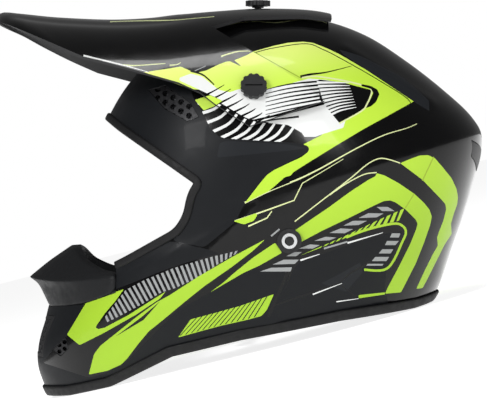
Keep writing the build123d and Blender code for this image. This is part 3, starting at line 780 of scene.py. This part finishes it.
def printed(name, color, roughness=0.3, coat=0.75, glow=0.0):
    """A print under a clear coat with the faint waviness of a sprayed lacquer."""
    finish = Finish(name, color, roughness, coat=coat, coat_roughness=0.05)
    finish.set("Specular IOR Level", 0.15)
    finish.set("Coat IOR", 1.22)
    finish.set("Roughness", finish.noise(90.0).step(0.2, 0.8) * 0.08 + (roughness - 0.04))
    finish.bump(finish.noise(260.0, 2.0), 0.05, 0.0004)
    if glow:
        finish.set("Emission Color", color)
        finish.set("Emission Strength", glow)
    return finish


FINISHES = {}


def make_finishes():
    """Every material, by name."""
    gloss = printed("gloss_black", (0.0022, 0.0022, 0.0024), 0.2, 0.85)
    satin = printed("satin_charcoal", (0.0072, 0.008, 0.0095), 0.45, 0.08)
    # Painted highlight: a lighter satin for facets and ridges that catch the light.
    light = printed("satin_painted_highlight", (0.013, 0.0145, 0.017), 0.42, 0.08)
    yellow = printed("printed_yellow", (0.55, 0.95, 0.05), 0.34, 0.55)
    # Painted light: the yellow is darker low on the helmet (painted shade) and pale at the crown (painted
    # highlight), as if lit from above.
    height = yellow.axis(2)
    colour = yellow.mix(height.step(0.16, 0.215), (0.50, 0.75, 0.055), (0.80, 0.90, 0.24))
    yellow.set("Base Color", yellow.mix(height.step(0.03, 0.15), (0.33, 0.54, 0.03), colour))
    white = printed("printed_white", (0.74, 0.75, 0.74), 0.34, 0.6)
    grey = printed("printed_grey", (0.30, 0.31, 0.31), 0.4, 0.4)
    cream = printed("printed_cream", (0.66, 0.72, 0.36), 0.36, 0.5)
    deep = printed("printed_olive", (0.30, 0.42, 0.03), 0.36, 0.5)
    inside = Finish("shell_inside", (0.012, 0.012, 0.013), 0.7)
    inside.bump(inside.noise(700.0), 0.25, 0.0004)

    rubber = Finish("moulded_rubber", (0.008, 0.008, 0.0085), 0.62)
    rubber.set("Specular IOR Level", 0.25)
    rubber.set("Roughness", rubber.noise(240.0).step(0.3, 0.7) * 0.16 + 0.52)
    rubber.bump(rubber.noise(1500.0, 4.0), 0.22, 0.0003)
    guard = Finish("bellows_rubber", (0.008, 0.0085, 0.0095), 0.55, Specular_IOR_Level=0.25)
    guard.set("Roughness", guard.noise(200.0).step(0.3, 0.7) * 0.14 + 0.48)
    guard.bump(guard.noise(1800.0, 4.0), 0.25, 0.0003)
    plastic = Finish("moulded_plastic", (0.01, 0.01, 0.011), 0.42, Specular_IOR_Level=0.3)
    plastic.bump(plastic.noise(1200.0, 3.0), 0.15, 0.0002)
    mesh = Finish("coated_mesh", (0.02, 0.02, 0.022), 0.4, metallic=0.5)
    mesh.set("Roughness", mesh.noise(500.0).step(0.3, 0.7) * 0.2 + 0.32)

    foam = Finish("bead_foam", (0.045, 0.045, 0.05), 0.8)
    cells = foam.node(
        "ShaderNodeTexVoronoi", inputs={"Vector": foam.place, "Scale": 330.0}, feature="DISTANCE_TO_EDGE",
    )
    foam.set("Base Color", foam.mix(cells.step(0.0, 0.09), (0.018, 0.018, 0.02), (0.055, 0.055, 0.06)))
    foam.bump(cells.step(0.0, 0.16), 0.5, 0.0006)

    knit = Finish("brushed_knit", (0.022, 0.022, 0.025), 0.95, Sheen_Weight=0.35, Sheen_Roughness=0.4)
    pile = knit.noise(2600.0, 4.0)
    shade = knit.noise(45.0, 3.0).step(0.3, 0.7)
    knit.set(
        "Base Color",
        knit.mix(shade * 0.6 + pile.step(0.3, 0.7) * 0.4, (0.014, 0.014, 0.016), (0.04, 0.04, 0.045)),
    )
    knit.bump(pile, 0.5, 0.0008)
    thread = Finish("sewing_thread", (0.06, 0.06, 0.065), 0.8)

    web = Finish("woven_webbing", (0.02, 0.02, 0.022), 0.85, Sheen_Weight=0.2)
    along = web.node(
        "ShaderNodeVectorMath", web.place, (0.0, 0.794, -0.608), operation="DOT_PRODUCT", output="Value",
    )
    ribs = (along * 3600.0).math("SINE")
    web.set("Base Color", web.mix(ribs.step(-0.6, 0.8), (0.01, 0.01, 0.011), (0.034, 0.034, 0.037)))
    web.bump(ribs + web.noise(2200.0), 0.5, 0.0004)

    steel = Finish("plated_steel", (0.78, 0.79, 0.8), 0.16, metallic=1.0)
    steel.set("Roughness", steel.noise(400.0, 4.0).step(0.3, 0.8) * 0.12 + 0.12)
    brass = Finish("turned_brass", (0.72, 0.56, 0.28), 0.3, metallic=1.0)
    brass.set("Roughness", brass.noise(500.0).step(0.3, 0.8) * 0.15 + 0.24)
    nylon = Finish("filled_nylon", (0.012, 0.012, 0.013), 0.45, Specular_IOR_Level=0.35)
    nylon.set("Roughness", nylon.noise(600.0, 4.0).step(0.3, 0.7) * 0.2 + 0.38)
    nylon.bump(nylon.noise(1600.0, 3.0), 0.2, 0.0002)
    snap = Finish("moulded_snap", (0.03, 0.03, 0.033), 0.5)
    snap.bump(snap.noise(1400.0, 3.0), 0.15, 0.0002)
    floor = Finish("studio_floor", (0.9, 0.9, 0.9), 0.9)
    floor.set("Specular IOR Level", 0.0)
    floor.set("Emission Color", (1.0, 1.0, 1.0))
    floor.set("Emission Strength", 0.8)
    for finish in (
        gloss, satin, light, yellow, white, grey, cream, deep, inside, rubber, guard, plastic, mesh, foam,
        knit, thread, web, steel, brass, nylon, snap, floor,
    ):
        FINISHES[finish.material.name] = finish.material


NODE_FINISH = {
    "outer_shell": "gloss_black", "peak": "gloss_black", "neck_trim": "moulded_rubber",
    "port_trim": "moulded_rubber", "peak_washers": "moulded_rubber", "nose_guard": "bellows_rubber",
    "mouth_vent_frame": "moulded_plastic", "rear_vent_left": "moulded_plastic",
    "rear_vent_right": "moulded_plastic", "mouth_vent_grille": "coated_mesh",
    "brow_vent_left": "coated_mesh", "brow_vent_right": "coated_mesh", "chin_vent_left": "coated_mesh",
    "chin_vent_right": "coated_mesh", "eps_crown_liner": "bead_foam", "eps_chin_liner": "bead_foam",
    "cheek_eps_left": "bead_foam", "cheek_eps_right": "bead_foam", "crown_pad": "brushed_knit",
    "neck_roll": "brushed_knit", "cheek_pad_left": "brushed_knit", "cheek_pad_right": "brushed_knit",
    "peak_side_screw_left": "filled_nylon", "peak_side_screw_right": "filled_nylon",
    "peak_top_screw": "filled_nylon", "strap_anchor_washers": "filled_nylon",
    "screw_inserts": "turned_brass", "strap_anchor_bolts": "plated_steel", "d_ring_front": "plated_steel",
    "d_ring_back": "plated_steel", "cheek_snap_studs": "moulded_snap", "cheek_snap_sockets": "moulded_snap",
    "chin_strap_left": "woven_webbing", "chin_strap_right": "woven_webbing",
}


# ------------------------------------------------------------------ pieces
def ridge(places, a, b, height, width, fade=10.0):
    """How high a crease from a to b stands, at each place of the skin, both flanks alike."""
    start, end = np.array(a, float), np.array(b, float)
    span = end - start
    length = np.hypot(*span)
    here = places[:, 1:] - start
    along = here @ span / length
    across = (here[:, 0] * span[1] - here[:, 1] * span[0]) / length
    window = np.clip(along / fade + 1, 0, 1) * np.clip((length - along) / fade + 1, 0, 1)
    window = window * window * (3 - 2 * window)
    return height * window * np.exp(-(across / width) ** 2)


def shell_relief(places):
    flange = ridge(places, (-126, -56), (-58, -34), 0.9, 3.2)
    lower = ridge(places, (-98, -122), (8, -86), 0.9, 4.0)
    rear = ridge(places, (60, 104), (118, 68), 0.9, 4.0)
    seam = ridge(places, (-60, -104), (84, -72), -0.7, 2.2)
    return flange + lower + rear + seam


def peak_relief(places):
    x = np.abs(places[:, 0])
    bill = np.clip((-30 - places[:, 1]) / 40, 0, 1) * np.clip((places[:, 1] + 185) / 20, 0, 1)
    bill = bill * bill * (3 - 2 * bill)
    return bill * (1.3 * np.exp(-(x / 12) ** 2) - 1.1 * np.exp(-((x - 48) / 9) ** 2))


def from_front(outline, side):
    """Side-view places of an outline drawn from the front (side -1) or the back (side 1)."""
    result = []
    for x, z in outline:
        near, far = 0.0, side * 175.0
        for _ in range(30):
            middle = (near + far) / 2
            if SHELL.flank(np.array(middle), np.array(float(z))) > x:
                near = middle
            else:
                far = middle
        result.append((near, z))
    return result


def circle(centre, radius, count=28):
    turns = [math.tau * i / count for i in range(count)]
    return [(centre[0] + radius * math.cos(turn), centre[1] + radius * math.sin(turn)) for turn in turns]


def skin_slots():
    names = (
        "gloss_black", "satin_charcoal", "satin_painted_highlight", "printed_yellow", "printed_white", "printed_grey",
        "printed_cream", "printed_olive", "shell_inside",
    )
    return [FINISHES[name] for name in names]


def make_shell():
    neck = [(y, z + NECK_FOOT) for y, z in NECK_LINE] + [(220, -300), (-220, -300)]
    mouth = [(x, z) for x, z in dense([(0.0, -82), (34, -82), (25, -112), (0.0, -112)], 2.0)]
    side_hole = circle((PIVOT[0], PIVOT[1]), 3.2)
    holes = [
        (neck, False), (EYE_PORT, False), (BROW_VENT, False), (CHIN_VENT, False),
        (from_front(mouth, -1), False), (from_front(dense(REAR_VENT, 2.0), 1), False), (side_hole, False),
        (circle(ANCHOR, 4.6), False),
    ]
    piece = build_skin(
        "shell_skin", SHELL, SHELL_WALL, 3.3, None, holes, ART, skin_slots(), INSIDE, shell_relief, BLACK,
    )
    return finish_piece(piece, "root", "shell_gloss", "outer_shell")


def make_peak():
    peak_hole = circle((PIVOT[0], PIVOT[1] + 2.3), 3.3)
    piece = build_skin(
        "peak_skin", PEAK, PEAK_WALL, 3.0, PEAK_SIDE, [(peak_hole, False)], ART, skin_slots(), INSIDE,
        peak_relief, BLACK,
    )
    return finish_piece(piece, "peak", "peak_gloss", "peak")


# ------------------------------------------------------------------ rubber beads
def on_shell(path, step=2.0):
    """A side-view path on the left flank: points and outward directions."""
    places = np.array(dense(path, 0.5, closed=False))
    x = SHELL.flank(places[:, 0], places[:, 1])
    inside = np.nonzero(x > 0.5)[0]
    first, last = inside[0], inside[-1]
    kept = [(x[i], *places[i]) for i in range(first, last + 1)]
    for end, step_out in ((first, -1), (last, 1)):
        if 0 <= end + step_out < len(places):
            near, far = places[end], places[end + step_out]
            for _ in range(24):
                middle = (near + far) / 2
                near, far = (middle, far) if SHELL.flank(*middle) > 0 else (near, middle)
            kept.insert(0 if step_out < 0 else len(kept), (0.0, *near))
    kept = np.array(kept)
    walked = np.concatenate([[0], np.cumsum(np.linalg.norm(np.diff(kept, axis=0), axis=1))])
    marks = np.linspace(0, walked[-1], max(8, int(walked[-1] / step)))
    points = np.stack([np.interp(marks, walked, kept[:, i]) for i in range(3)], axis=1)
    u, v = SHELL.flat(points[:, 1], points[:, 2])
    return points, SHELL.normals(u, v)


def mirrored(points, normals, at_start, at_end):
    """The same run carried on over the middle to the right flank."""
    flip = np.array([-1.0, 1.0, 1.0])
    points, normals = points.copy(), normals.copy()
    for touches, index in ((at_start, 0), (at_end, -1)):
        if touches:
            points[index, 0] = 0.0
            normals[index, 0] = 0.0
            normals[index] /= np.linalg.norm(normals[index])
    back_points, back_normals = (points * flip)[::-1], (normals * flip)[::-1]
    if at_end:
        back_points, back_normals = back_points[1:], back_normals[1:]
    if at_start and at_end:
        back_points, back_normals = back_points[:-1], back_normals[:-1]
    return np.concatenate([points, back_points]), np.concatenate([normals, back_normals])


def bead_profile(lip, foot):
    return [
        (0.2, lip), (1.1, lip + 0.1), (1.8, lip - 0.7), (1.9, lip / 2), (1.9, -0.4), (1.5, -foot + 0.5),
        (0.7, -foot), (-4.6, -foot), (-5.5, -foot + 0.5), (-5.9, -0.4), (-5.9, lip / 2), (-5.7, lip - 0.6),
        (-4.9, lip), (-4.2, lip - 0.2), (-4.1, lip / 2), (-4.0, 0.4), (0.1, 0.4), (0.1, lip / 2),
    ]


def sweep(name, points, normals, profile, closed):
    """A profile carried along a run: its first number goes outwards and its second away from the opening."""
    count, size = len(points), len(profile)
    ahead = np.roll(points, -1, axis=0) - np.roll(points, 1, axis=0)
    if not closed:
        ahead[0], ahead[-1] = points[1] - points[0], points[-1] - points[-2]
    side = np.cross(normals, ahead)
    side /= np.linalg.norm(side, axis=1, keepdims=True)
    rings = [points[i] + normals[i] * n + side[i] * b for i in range(count) for n, b in profile]
    faces = []
    for i in range(count if closed else count - 1):
        j = (i + 1) % count
        for k in range(size):
            m = (k + 1) % size
            faces.append((i * size + k, i * size + m, j * size + m, j * size + k))
    if not closed:
        faces += [tuple(range(size)), tuple(range((count - 1) * size, count * size))[::-1]]
    piece = new_object(name, rings, faces, [FINISHES["moulded_rubber"]])
    recalculate(piece)
    return piece


def make_beads():
    port = [
        (-99, -46.5), (-90, -42), (-56, -23), (-49, -12), (-46, 3), (-40, 12), (-60, 26), (-96, 51),
        (-112, 64), (-160, 68.5),
    ]
    eased = port[:1]
    for i in range(1, len(port) - 1):  # six points ease a corner, and the middle one of three is kept
        eased += rounded(port[i - 1:i + 2], 6.0, 5)[6:12]
    eased += port[-1:]
    points, normals = on_shell(eased)
    points, normals = mirrored(points, normals, False, True)
    trim = sweep("port_bead", points, normals, bead_profile(*PORT_BEAD), False)
    finish_piece(trim, "root", "rubber_black", "port_trim")
    points, normals = on_shell([(y, z + NECK_FOOT) for y, z in NECK_LINE])
    points, normals = mirrored(points, normals, True, True)
    neck = sweep("neck_bead", points, normals, bead_profile(*NECK_BEAD), True)
    finish_piece(neck, "root", "rubber_black", "neck_trim")


# Sections of the nose guard from the middle to the side: how far out the first four points of its
# outline lie, how far out the last four lie, and the outline in y and z.
GUARD_SECTIONS = [
    (0, 0, [
        (-152, -76), (-160, -60), (-167, -55), (-153, -43.5), (-136, -32), (-129, -31.5), (-133, -50),
        (-140, -74),
    ]),
    (22, 22, [
        (-149, -76), (-155, -60), (-161, -56), (-148, -45), (-133, -34), (-127, -33.5), (-130, -50),
        (-138, -74),
    ]),
    (45, 45, [
        (-138, -75), (-142, -62), (-146, -57), (-136, -50), (-126, -42.5), (-121, -42), (-124, -52),
        (-128, -72),
    ]),
    (66, 66, [
        (-122, -72), (-124, -62), (-125, -56), (-119, -52), (-113, -48.5), (-109, -48.5), (-111, -54),
        (-114, -70),
    ]),
    (86, 78, [
        (-101, -64), (-101, -58), (-101, -53.5), (-100, -51.5), (-99, -50.5), (-96, -50.5), (-95.5, -56),
        (-96, -63),
    ]),
]


GUARD_CORNERS = (0, 2, 4, 5, 7)  # the points of a section whose run keeps an edge
GUARD_EDGE = 0.86
GUARD_SOFT_EDGE = 0.3


def guard_ring(section, side):
    outer, inner, outline = section
    return [(side * (outer if i < 4 else inner), y, z) for i, (y, z) in enumerate(outline)]


def make_nose_guard():
    rings = [guard_ring(section, -1) for section in GUARD_SECTIONS[:0:-1]]
    rings += [guard_ring(section, 1) for section in GUARD_SECTIONS]
    size = len(rings[0])
    points = [p for ring in rings for p in ring]
    faces = []
    for i in range(len(rings) - 1):
        for k in range(size):
            m = (k + 1) % size
            faces.append((i * size + k, i * size + m, (i + 1) * size + m, (i + 1) * size + k))
    faces += [tuple(range(size)), tuple(range(len(points) - size, len(points)))]
    guard = new_object("nose_guard_rubber", points, faces, [FINISHES["bellows_rubber"]])
    recalculate(guard)
    crease = guard.data.attributes.new("crease_edge", "FLOAT", "EDGE")
    for edge in guard.data.edges:
        ring_a, ring_b = edge.vertices[0] // size, edge.vertices[1] // size
        along = ring_a != ring_b
        corner = edge.vertices[0] % size in GUARD_CORNERS
        crease.data[edge.index].value = GUARD_EDGE if along and corner else GUARD_SOFT_EDGE
    smooth = guard.modifiers.new("smooth", "SUBSURF")
    smooth.levels = smooth.render_levels = 3
    apply_modifiers(guard)
    finish_piece(guard, "root", "guard_rubber", "nose_guard")


# ------------------------------------------------------------------ small fillings
def make_filter():
    """A thin foam filter behind the mouth grille, on the back of the shell."""
    xs = np.linspace(-37, 37, 38)
    zs = np.linspace(-79, -115, 19)
    points = []
    for depth in (6.2, 8.2):
        for z in zs:
            places = from_front([(abs(float(x)), float(z)) for x in xs], -1)
            points += [(float(x), y + depth, float(z)) for x, (y, _) in zip(xs, places)]
    columns, rows = len(xs), len(zs)
    layer = columns * rows
    faces = []
    for r in range(rows - 1):
        for c in range(columns - 1):
            a = r * columns + c
            faces.append((a, a + 1, a + columns + 1, a + columns))
            faces.append((a + layer, a + layer + columns, a + layer + columns + 1, a + layer + 1))
    rim = list(range(columns)) + [r * columns + columns - 1 for r in range(1, rows)]
    rim += list(range(layer - 2, layer - columns - 1, -1)) + [r * columns for r in range(rows - 2, 0, -1)]
    faces += [(a, a + layer, b + layer, b) for a, b in zip(rim, rim[1:] + rim[:1])]
    piece = new_object("mouth_vent_filter", points, faces, [FINISHES["shell_inside"]])
    recalculate(piece)
    finish_piece(piece, "root", "foam_liner")


def make_bolt_caps():
    """A dark domed cap in the recess of each strap bolt."""
    points, faces = [], []
    rings, count = 5, 28
    for side in (1, -1):
        base = len(points)
        x0 = SHELL.flank(np.array(ANCHOR[0]), np.array(ANCHOR[1])) + 3.05
        for ring in range(rings + 1):
            radius = 3.2 * (1 - ring / rings)
            lift = 0.55 * math.sqrt(max(0.0, 1 - (radius / 3.2) ** 2))
            for i in range(count if ring < rings else 1):
                angle = math.tau * i / count
                x = side * (float(x0) + lift)
                points.append((x, ANCHOR[0] + radius * math.cos(angle), ANCHOR[1] + radius * math.sin(angle)))
        for ring in range(rings - 1):
            for i in range(count):
                a, b = base + ring * count + i, base + ring * count + (i + 1) % count
                faces.append((a, b, b + count, a + count))
        tip = base + rings * count
        last = base + (rings - 1) * count
        faces += [(last + i, last + (i + 1) % count, tip) for i in range(count)]
        faces.append(tuple(range(base, base + count)))
    piece = new_object("strap_bolt_caps", points, faces, [FINISHES["filled_nylon"]])
    recalculate(piece)
    finish_piece(piece, "root", "screw_plastic")


# ------------------------------------------------------------------ stuffed lining
PADS = {
    "crown_pad": ("crown_cushion", 0.006, 5.0),
    "neck_roll": ("neck_cushion", 0.006, 6.0),
    "cheek_pad_left": ("cheek_cushion_left", 0.005, 7.0),
    "cheek_pad_right": ("cheek_cushion_right", 0.005, 7.0),
}


def make_cushion(node, name, voxel, bulge):
    """A stuffed copy of a plain pad: its skin is blown out a little and settles into folds."""
    cushion = bpy.data.objects.new(name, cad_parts[node].data.copy())
    bpy.context.scene.collection.objects.link(cushion)
    cushion.data.transform(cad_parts[node].matrix_world)
    remesh = cushion.modifiers.new("remesh", "REMESH")
    remesh.mode = "VOXEL"
    remesh.voxel_size = voxel
    apply_modifiers(cushion)
    settle(cushion, bulge * MM)
    soften = cushion.modifiers.new("soften", "SMOOTH")
    soften.factor = 0.5
    soften.iterations = 3
    divide = cushion.modifiers.new("divide", "SUBSURF")
    divide.levels = divide.render_levels = 1
    apply_modifiers(cushion)
    cushion.data.materials.clear()
    cushion.data.materials.append(FINISHES["brushed_knit"])
    cushion.data.polygons.foreach_set("use_smooth", [True] * len(cushion.data.polygons))
    finish_piece(cushion, "root", "pad_fabric", node)


def settle(cushion, limit):
    """Blows the skin out as cloth for a few frames, never further than limit."""
    scene = bpy.context.scene
    before = np.array([v.co[:] for v in cushion.data.vertices])
    cloth = cushion.modifiers.new("cloth", "CLOTH")
    cloth.settings.use_pressure = True
    cloth.settings.uniform_pressure_force = 4.0
    cloth.settings.effector_weights.gravity = 0.0
    cloth.settings.quality = 5
    cloth.point_cache.frame_start = 1
    cloth.point_cache.frame_end = 20
    for number in range(1, 21):
        scene.frame_set(number)
    apply_modifiers(cushion)
    scene.frame_set(1)
    after = np.array([v.co[:] for v in cushion.data.vertices])
    moved = after - before
    length = np.linalg.norm(moved, axis=1, keepdims=True)
    after = before + moved * np.minimum(1.0, limit * 0.5 / np.maximum(length, 1e-9))
    cushion.data.vertices.foreach_set("co", after.ravel())
    cushion.data.update()


# ------------------------------------------------------------------ stitching on the strap
STRAP_ORIGIN = Vector((0, 19, -28))
STRAP_DOWN = Vector((0, -49, -64)).normalized()
STRAP_ACROSS = Vector((0, 0.794, -0.608))
STRAP_LEFT = [(106, -8), (104, 22), (88, 54), (52, 72), (10, 74.6), (-24, 74.6)]
STRAP_RIGHT = [(-106, -8), (-104, 22), (-88, 54), (-56, 74), (-42, 77)]


def stitch_tree():
    """Geometry nodes that lay short stitches along a path, each turned along it."""
    tree = bpy.data.node_groups.new("stitches", "GeometryNodeTree")
    tree.interface.new_socket("Path", in_out="INPUT", socket_type="NodeSocketGeometry")
    tree.interface.new_socket("Spacing", in_out="INPUT", socket_type="NodeSocketFloat")
    tree.interface.new_socket("Length", in_out="INPUT", socket_type="NodeSocketFloat")
    tree.interface.new_socket("Thickness", in_out="INPUT", socket_type="NodeSocketFloat")
    tree.interface.new_socket("Material", in_out="INPUT", socket_type="NodeSocketMaterial")
    tree.interface.new_socket("Stitches", in_out="OUTPUT", socket_type="NodeSocketGeometry")

    def node(kind, links=None, **settings):
        made = tree.nodes.new(kind)
        for key, value in settings.items():
            setattr(made, key, value)
        for key, value in (links or {}).items():
            if isinstance(value, bpy.types.NodeSocket):
                tree.links.new(value, made.inputs[key])
            else:
                made.inputs[key].default_value = value
        return made.outputs

    given = node("NodeGroupInput")
    curve = node("GeometryNodeMeshToCurve", {"Mesh": given["Path"]})["Curve"]
    spaced = node(
        "GeometryNodeResampleCurve", {"Curve": curve, "Length": given["Spacing"]}, mode="LENGTH",
    )["Curve"]
    tangent = node("GeometryNodeInputTangent")["Tangent"]
    turn = node("FunctionNodeAlignRotationToVector", {"Vector": tangent}, axis="Z")["Rotation"]
    thread = node(
        "GeometryNodeMeshCylinder", {"Vertices": 8, "Radius": given["Thickness"], "Depth": given["Length"]},
    )["Mesh"]
    placed = node(
        "GeometryNodeInstanceOnPoints", {"Points": spaced, "Instance": thread, "Rotation": turn},
    )["Instances"]
    real = node("GeometryNodeRealizeInstances", {"Geometry": placed})["Geometry"]
    done = node("GeometryNodeSetMaterial", {"Geometry": real, "Material": given["Material"]})["Geometry"]
    tree.links.new(done, tree.nodes.new("NodeGroupOutput").inputs["Stitches"])
    return tree


def make_stitches(name, runs, spacing, length, thickness):
    """Stitches along several runs of points of the worn frame."""
    mesh = bpy.data.meshes.new(name)
    points, edges = [], []
    for run in runs:
        edges += [(len(points) + i, len(points) + i + 1) for i in range(len(run) - 1)]
        points += run
    mesh.from_pydata([tuple(p) for p in stand(points)], edges, [])
    piece = bpy.data.objects.new(name, mesh)
    bpy.context.scene.collection.objects.link(piece)
    modifier = piece.modifiers.new("stitches", "NODES")
    modifier.node_group = stitch_tree()
    values = {
        "Spacing": spacing, "Length": length, "Thickness": thickness, "Material": FINISHES["sewing_thread"],
    }
    for item in modifier.node_group.interface.items_tree:
        if item.in_out == "INPUT" and item.name in values:
            modifier[item.identifier] = values[item.name]
    apply_modifiers(piece)
    return piece


def strap_point(place, across, lift, normal):
    x, down = place[0] + normal[0] * lift, place[1] + normal[1] * lift
    return tuple(STRAP_ORIGIN + Vector((x, 0, 0)) + STRAP_DOWN * down + STRAP_ACROSS * across)


def strap_runs(route, first, last):
    """Both edges of a strap, on both of its faces."""
    runs = []
    path = dense(route[first:last], 3.0, closed=False)
    for face in (1.12, -1.12):
        for across in (-10.2, 10.2):
            run = []
            for i, here in enumerate(path):
                along = Vector(path[min(i + 1, len(path) - 1)]) - Vector(path[max(i - 1, 0)])
                normal = Vector((-along[1], along[0])).normalized()
                run.append(strap_point(here, across, face, normal))
            runs.append(run)
    return runs


def make_strap_stitches():
    left = make_stitches("strap_stitches_left", strap_runs(STRAP_LEFT, 1, 6), 0.0034, 0.0024, 0.00032)
    finish_piece(left, "root", "webbing")
    right = make_stitches("strap_stitches_right", strap_runs(STRAP_RIGHT, 1, 4), 0.0034, 0.0024, 0.00032)
    finish_piece(right, "root", "webbing")


# ------------------------------------------------------------------ the add-on
class PieceOperator:
    """What every operator of a piece shares."""

    bl_options = {"REGISTER", "UNDO"}

    def execute(self, context):
        self.build(context.scene.helmet)
        return {"FINISHED"}


class HELMET_OT_shell(PieceOperator, bpy.types.Operator):
    """Builds the printed outer shell with its openings"""

    bl_idname = "helmet.shell"
    bl_label = "Outer shell"

    def build(self, settings):
        make_shell()


class HELMET_OT_peak(PieceOperator, bpy.types.Operator):
    """Builds the printed peak that tilts over the shell"""

    bl_idname = "helmet.peak"
    bl_label = "Peak"

    def build(self, settings):
        make_peak()


class HELMET_OT_finishes(PieceOperator, bpy.types.Operator):
    """Makes the materials and gives each model node its own"""

    bl_idname = "helmet.finishes"
    bl_label = "Finishes"

    def build(self, settings):
        make_finishes()
        for node, finish in NODE_FINISH.items():
            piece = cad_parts[node]
            piece.data.materials.clear()
            piece.data.materials.append(FINISHES[finish])


class HELMET_OT_graphics(PieceOperator, bpy.types.Operator):
    """Draws the printed graphics and the painted highlights, the lowest layer first"""

    bl_idname = "helmet.graphics"
    bl_label = "Graphics"

    def build(self, settings):
        ART.clear()
        draw_mouldings()
        draw_flank()
        draw_chin()
        draw_crown()
        draw_temple()
        draw_peak()


class HELMET_OT_beads(PieceOperator, bpy.types.Operator):
    """Sweeps the rubber beads round the eye port and the neck"""

    bl_idname = "helmet.beads"
    bl_label = "Rubber beads"

    def build(self, settings):
        make_beads()


class HELMET_OT_nose_guard(PieceOperator, bpy.types.Operator):
    """Lofts the soft nose guard on the chin bar"""

    bl_idname = "helmet.nose_guard"
    bl_label = "Nose guard"

    def build(self, settings):
        make_nose_guard()


class HELMET_OT_fillings(PieceOperator, bpy.types.Operator):
    """Adds the filter behind the mouth grille and the caps of the strap bolts"""

    bl_idname = "helmet.fillings"
    bl_label = "Filter and bolt caps"

    def build(self, settings):
        make_filter()
        make_bolt_caps()


class HELMET_OT_lining(PieceOperator, bpy.types.Operator):
    """Stuffs the crown pad, the neck roll and the cheek pads"""

    bl_idname = "helmet.lining"
    bl_label = "Lining"

    def build(self, settings):
        for node, (name, voxel, bulge) in PADS.items():
            make_cushion(node, name, voxel, bulge)


class HELMET_OT_stitching(PieceOperator, bpy.types.Operator):
    """Stitches both edges of the chin strap"""

    bl_idname = "helmet.stitching"
    bl_label = "Strap stitching"

    def build(self, settings):
        make_strap_stitches()


def area_light(name, place, target, size, power):
    lamp = bpy.data.objects.new(name, bpy.data.lights.new(name, "AREA"))
    lamp.data.shape = "RECTANGLE"
    lamp.data.size, lamp.data.size_y = size
    lamp.data.energy = power
    lamp.location = place
    lamp.rotation_euler = (Vector(target) - Vector(place)).to_track_quat("-Z", "Y").to_euler()
    bpy.context.scene.collection.objects.link(lamp)
    return lamp


FLOOR_SIZE = 30
FLOOR_DROP = 0.0005
LIGHTS = {  # place, size and power; all look at the middle of the helmet
    "key": ((1.7, -1.2, 1.5), (0.7, 0.7), 34.0),
    "fill": ((2.2, 1.0, 1.0), (0.5, 0.5), 12.0),
    "top": ((0.5, 0.5, 2.3), (0.5, 0.5), 10.0),
}
LIGHT_TARGET = (0, 0, 0.13)


class HELMET_OT_stage(PieceOperator, bpy.types.Operator):
    """Sets the pale floor, the soft lights and the camera"""

    bl_idname = "helmet.stage"
    bl_label = "Stage"

    def build(self, settings):
        scene = bpy.context.scene
        bpy.ops.mesh.primitive_plane_add(size=FLOOR_SIZE, location=(0, 0, -FLOOR_DROP))
        floor = bpy.context.object
        floor.name = "studio_floor"
        floor.data.materials.append(FINISHES["studio_floor"])
        world = bpy.data.worlds.new("studio")
        world.use_nodes = True
        nodes, links = world.node_tree.nodes, world.node_tree.links
        background = nodes["Background"]
        background.inputs["Color"].default_value = (1.0, 1.0, 1.0, 1.0)
        ray = nodes.new("ShaderNodeLightPath")
        strength = nodes.new("ShaderNodeMapRange")
        strength.inputs["To Min"].default_value = settings.world_strength
        strength.inputs["To Max"].default_value = 1.0
        links.new(ray.outputs["Is Camera Ray"], strength.inputs["Value"])
        links.new(strength.outputs["Result"], background.inputs["Strength"])
        scene.world = world
        for name, (place, size, power) in LIGHTS.items():
            area_light(name, place, LIGHT_TARGET, size, power)
        scene.view_settings.view_transform = "Standard"
        data = bpy.data.cameras.new("main")
        data.lens = settings.lens
        data.sensor_width = 36.0
        data.clip_end = 50.0
        camera = bpy.data.objects.new("main", data)
        scene.collection.objects.link(camera)
        turn = STAND.to_3x3().normalized() @ Matrix(((0, 0, 1), (1, 0, 0), (0, 1, 0)))
        camera.matrix_world = Matrix.LocRotScale(STAND @ Vector(EYE), turn, None)
        scene.camera = camera


class HelmetSettings(bpy.types.PropertyGroup):
    """What can be changed about the helmet's pieces and stage"""

    lens: bpy.props.FloatProperty(
        name="Lens", description="Focal length of the main camera", default=184.8, min=20.0, unit="CAMERA",
    )
    world_strength: bpy.props.FloatProperty(
        name="World light", description="How bright the surrounding studio is", default=0.14, min=0.0,
    )


class HELMET_PT_panel(bpy.types.Panel):
    """The helmet's panel in the sidebar"""

    bl_idname = "HELMET_PT_panel"
    bl_label = "Helmet"
    bl_space_type = "VIEW_3D"
    bl_region_type = "UI"
    bl_category = "Helmet"

    def draw(self, context):
        for name in ("lens", "world_strength"):
            self.layout.prop(context.scene.helmet, name)
        for operator in OPERATORS:
            self.layout.operator(operator.bl_idname)


OPERATORS = (
    HELMET_OT_finishes, HELMET_OT_graphics, HELMET_OT_shell, HELMET_OT_peak, HELMET_OT_beads,
    HELMET_OT_nose_guard, HELMET_OT_fillings, HELMET_OT_lining, HELMET_OT_stitching, HELMET_OT_stage,
)


def register():
    for item in (HelmetSettings, *OPERATORS, HELMET_PT_panel):
        bpy.utils.register_class(item)
    bpy.types.Scene.helmet = bpy.props.PointerProperty(type=HelmetSettings)


def unregister():
    del bpy.types.Scene.helmet
    for item in (HELMET_PT_panel, *reversed(OPERATORS), HelmetSettings):
        bpy.utils.unregister_class(item)


def main():
    register()
    for operator in OPERATORS:
        space, name = operator.bl_idname.split(".")
        getattr(getattr(bpy.ops, space), name)()


if __name__ == "__main__":
    main()
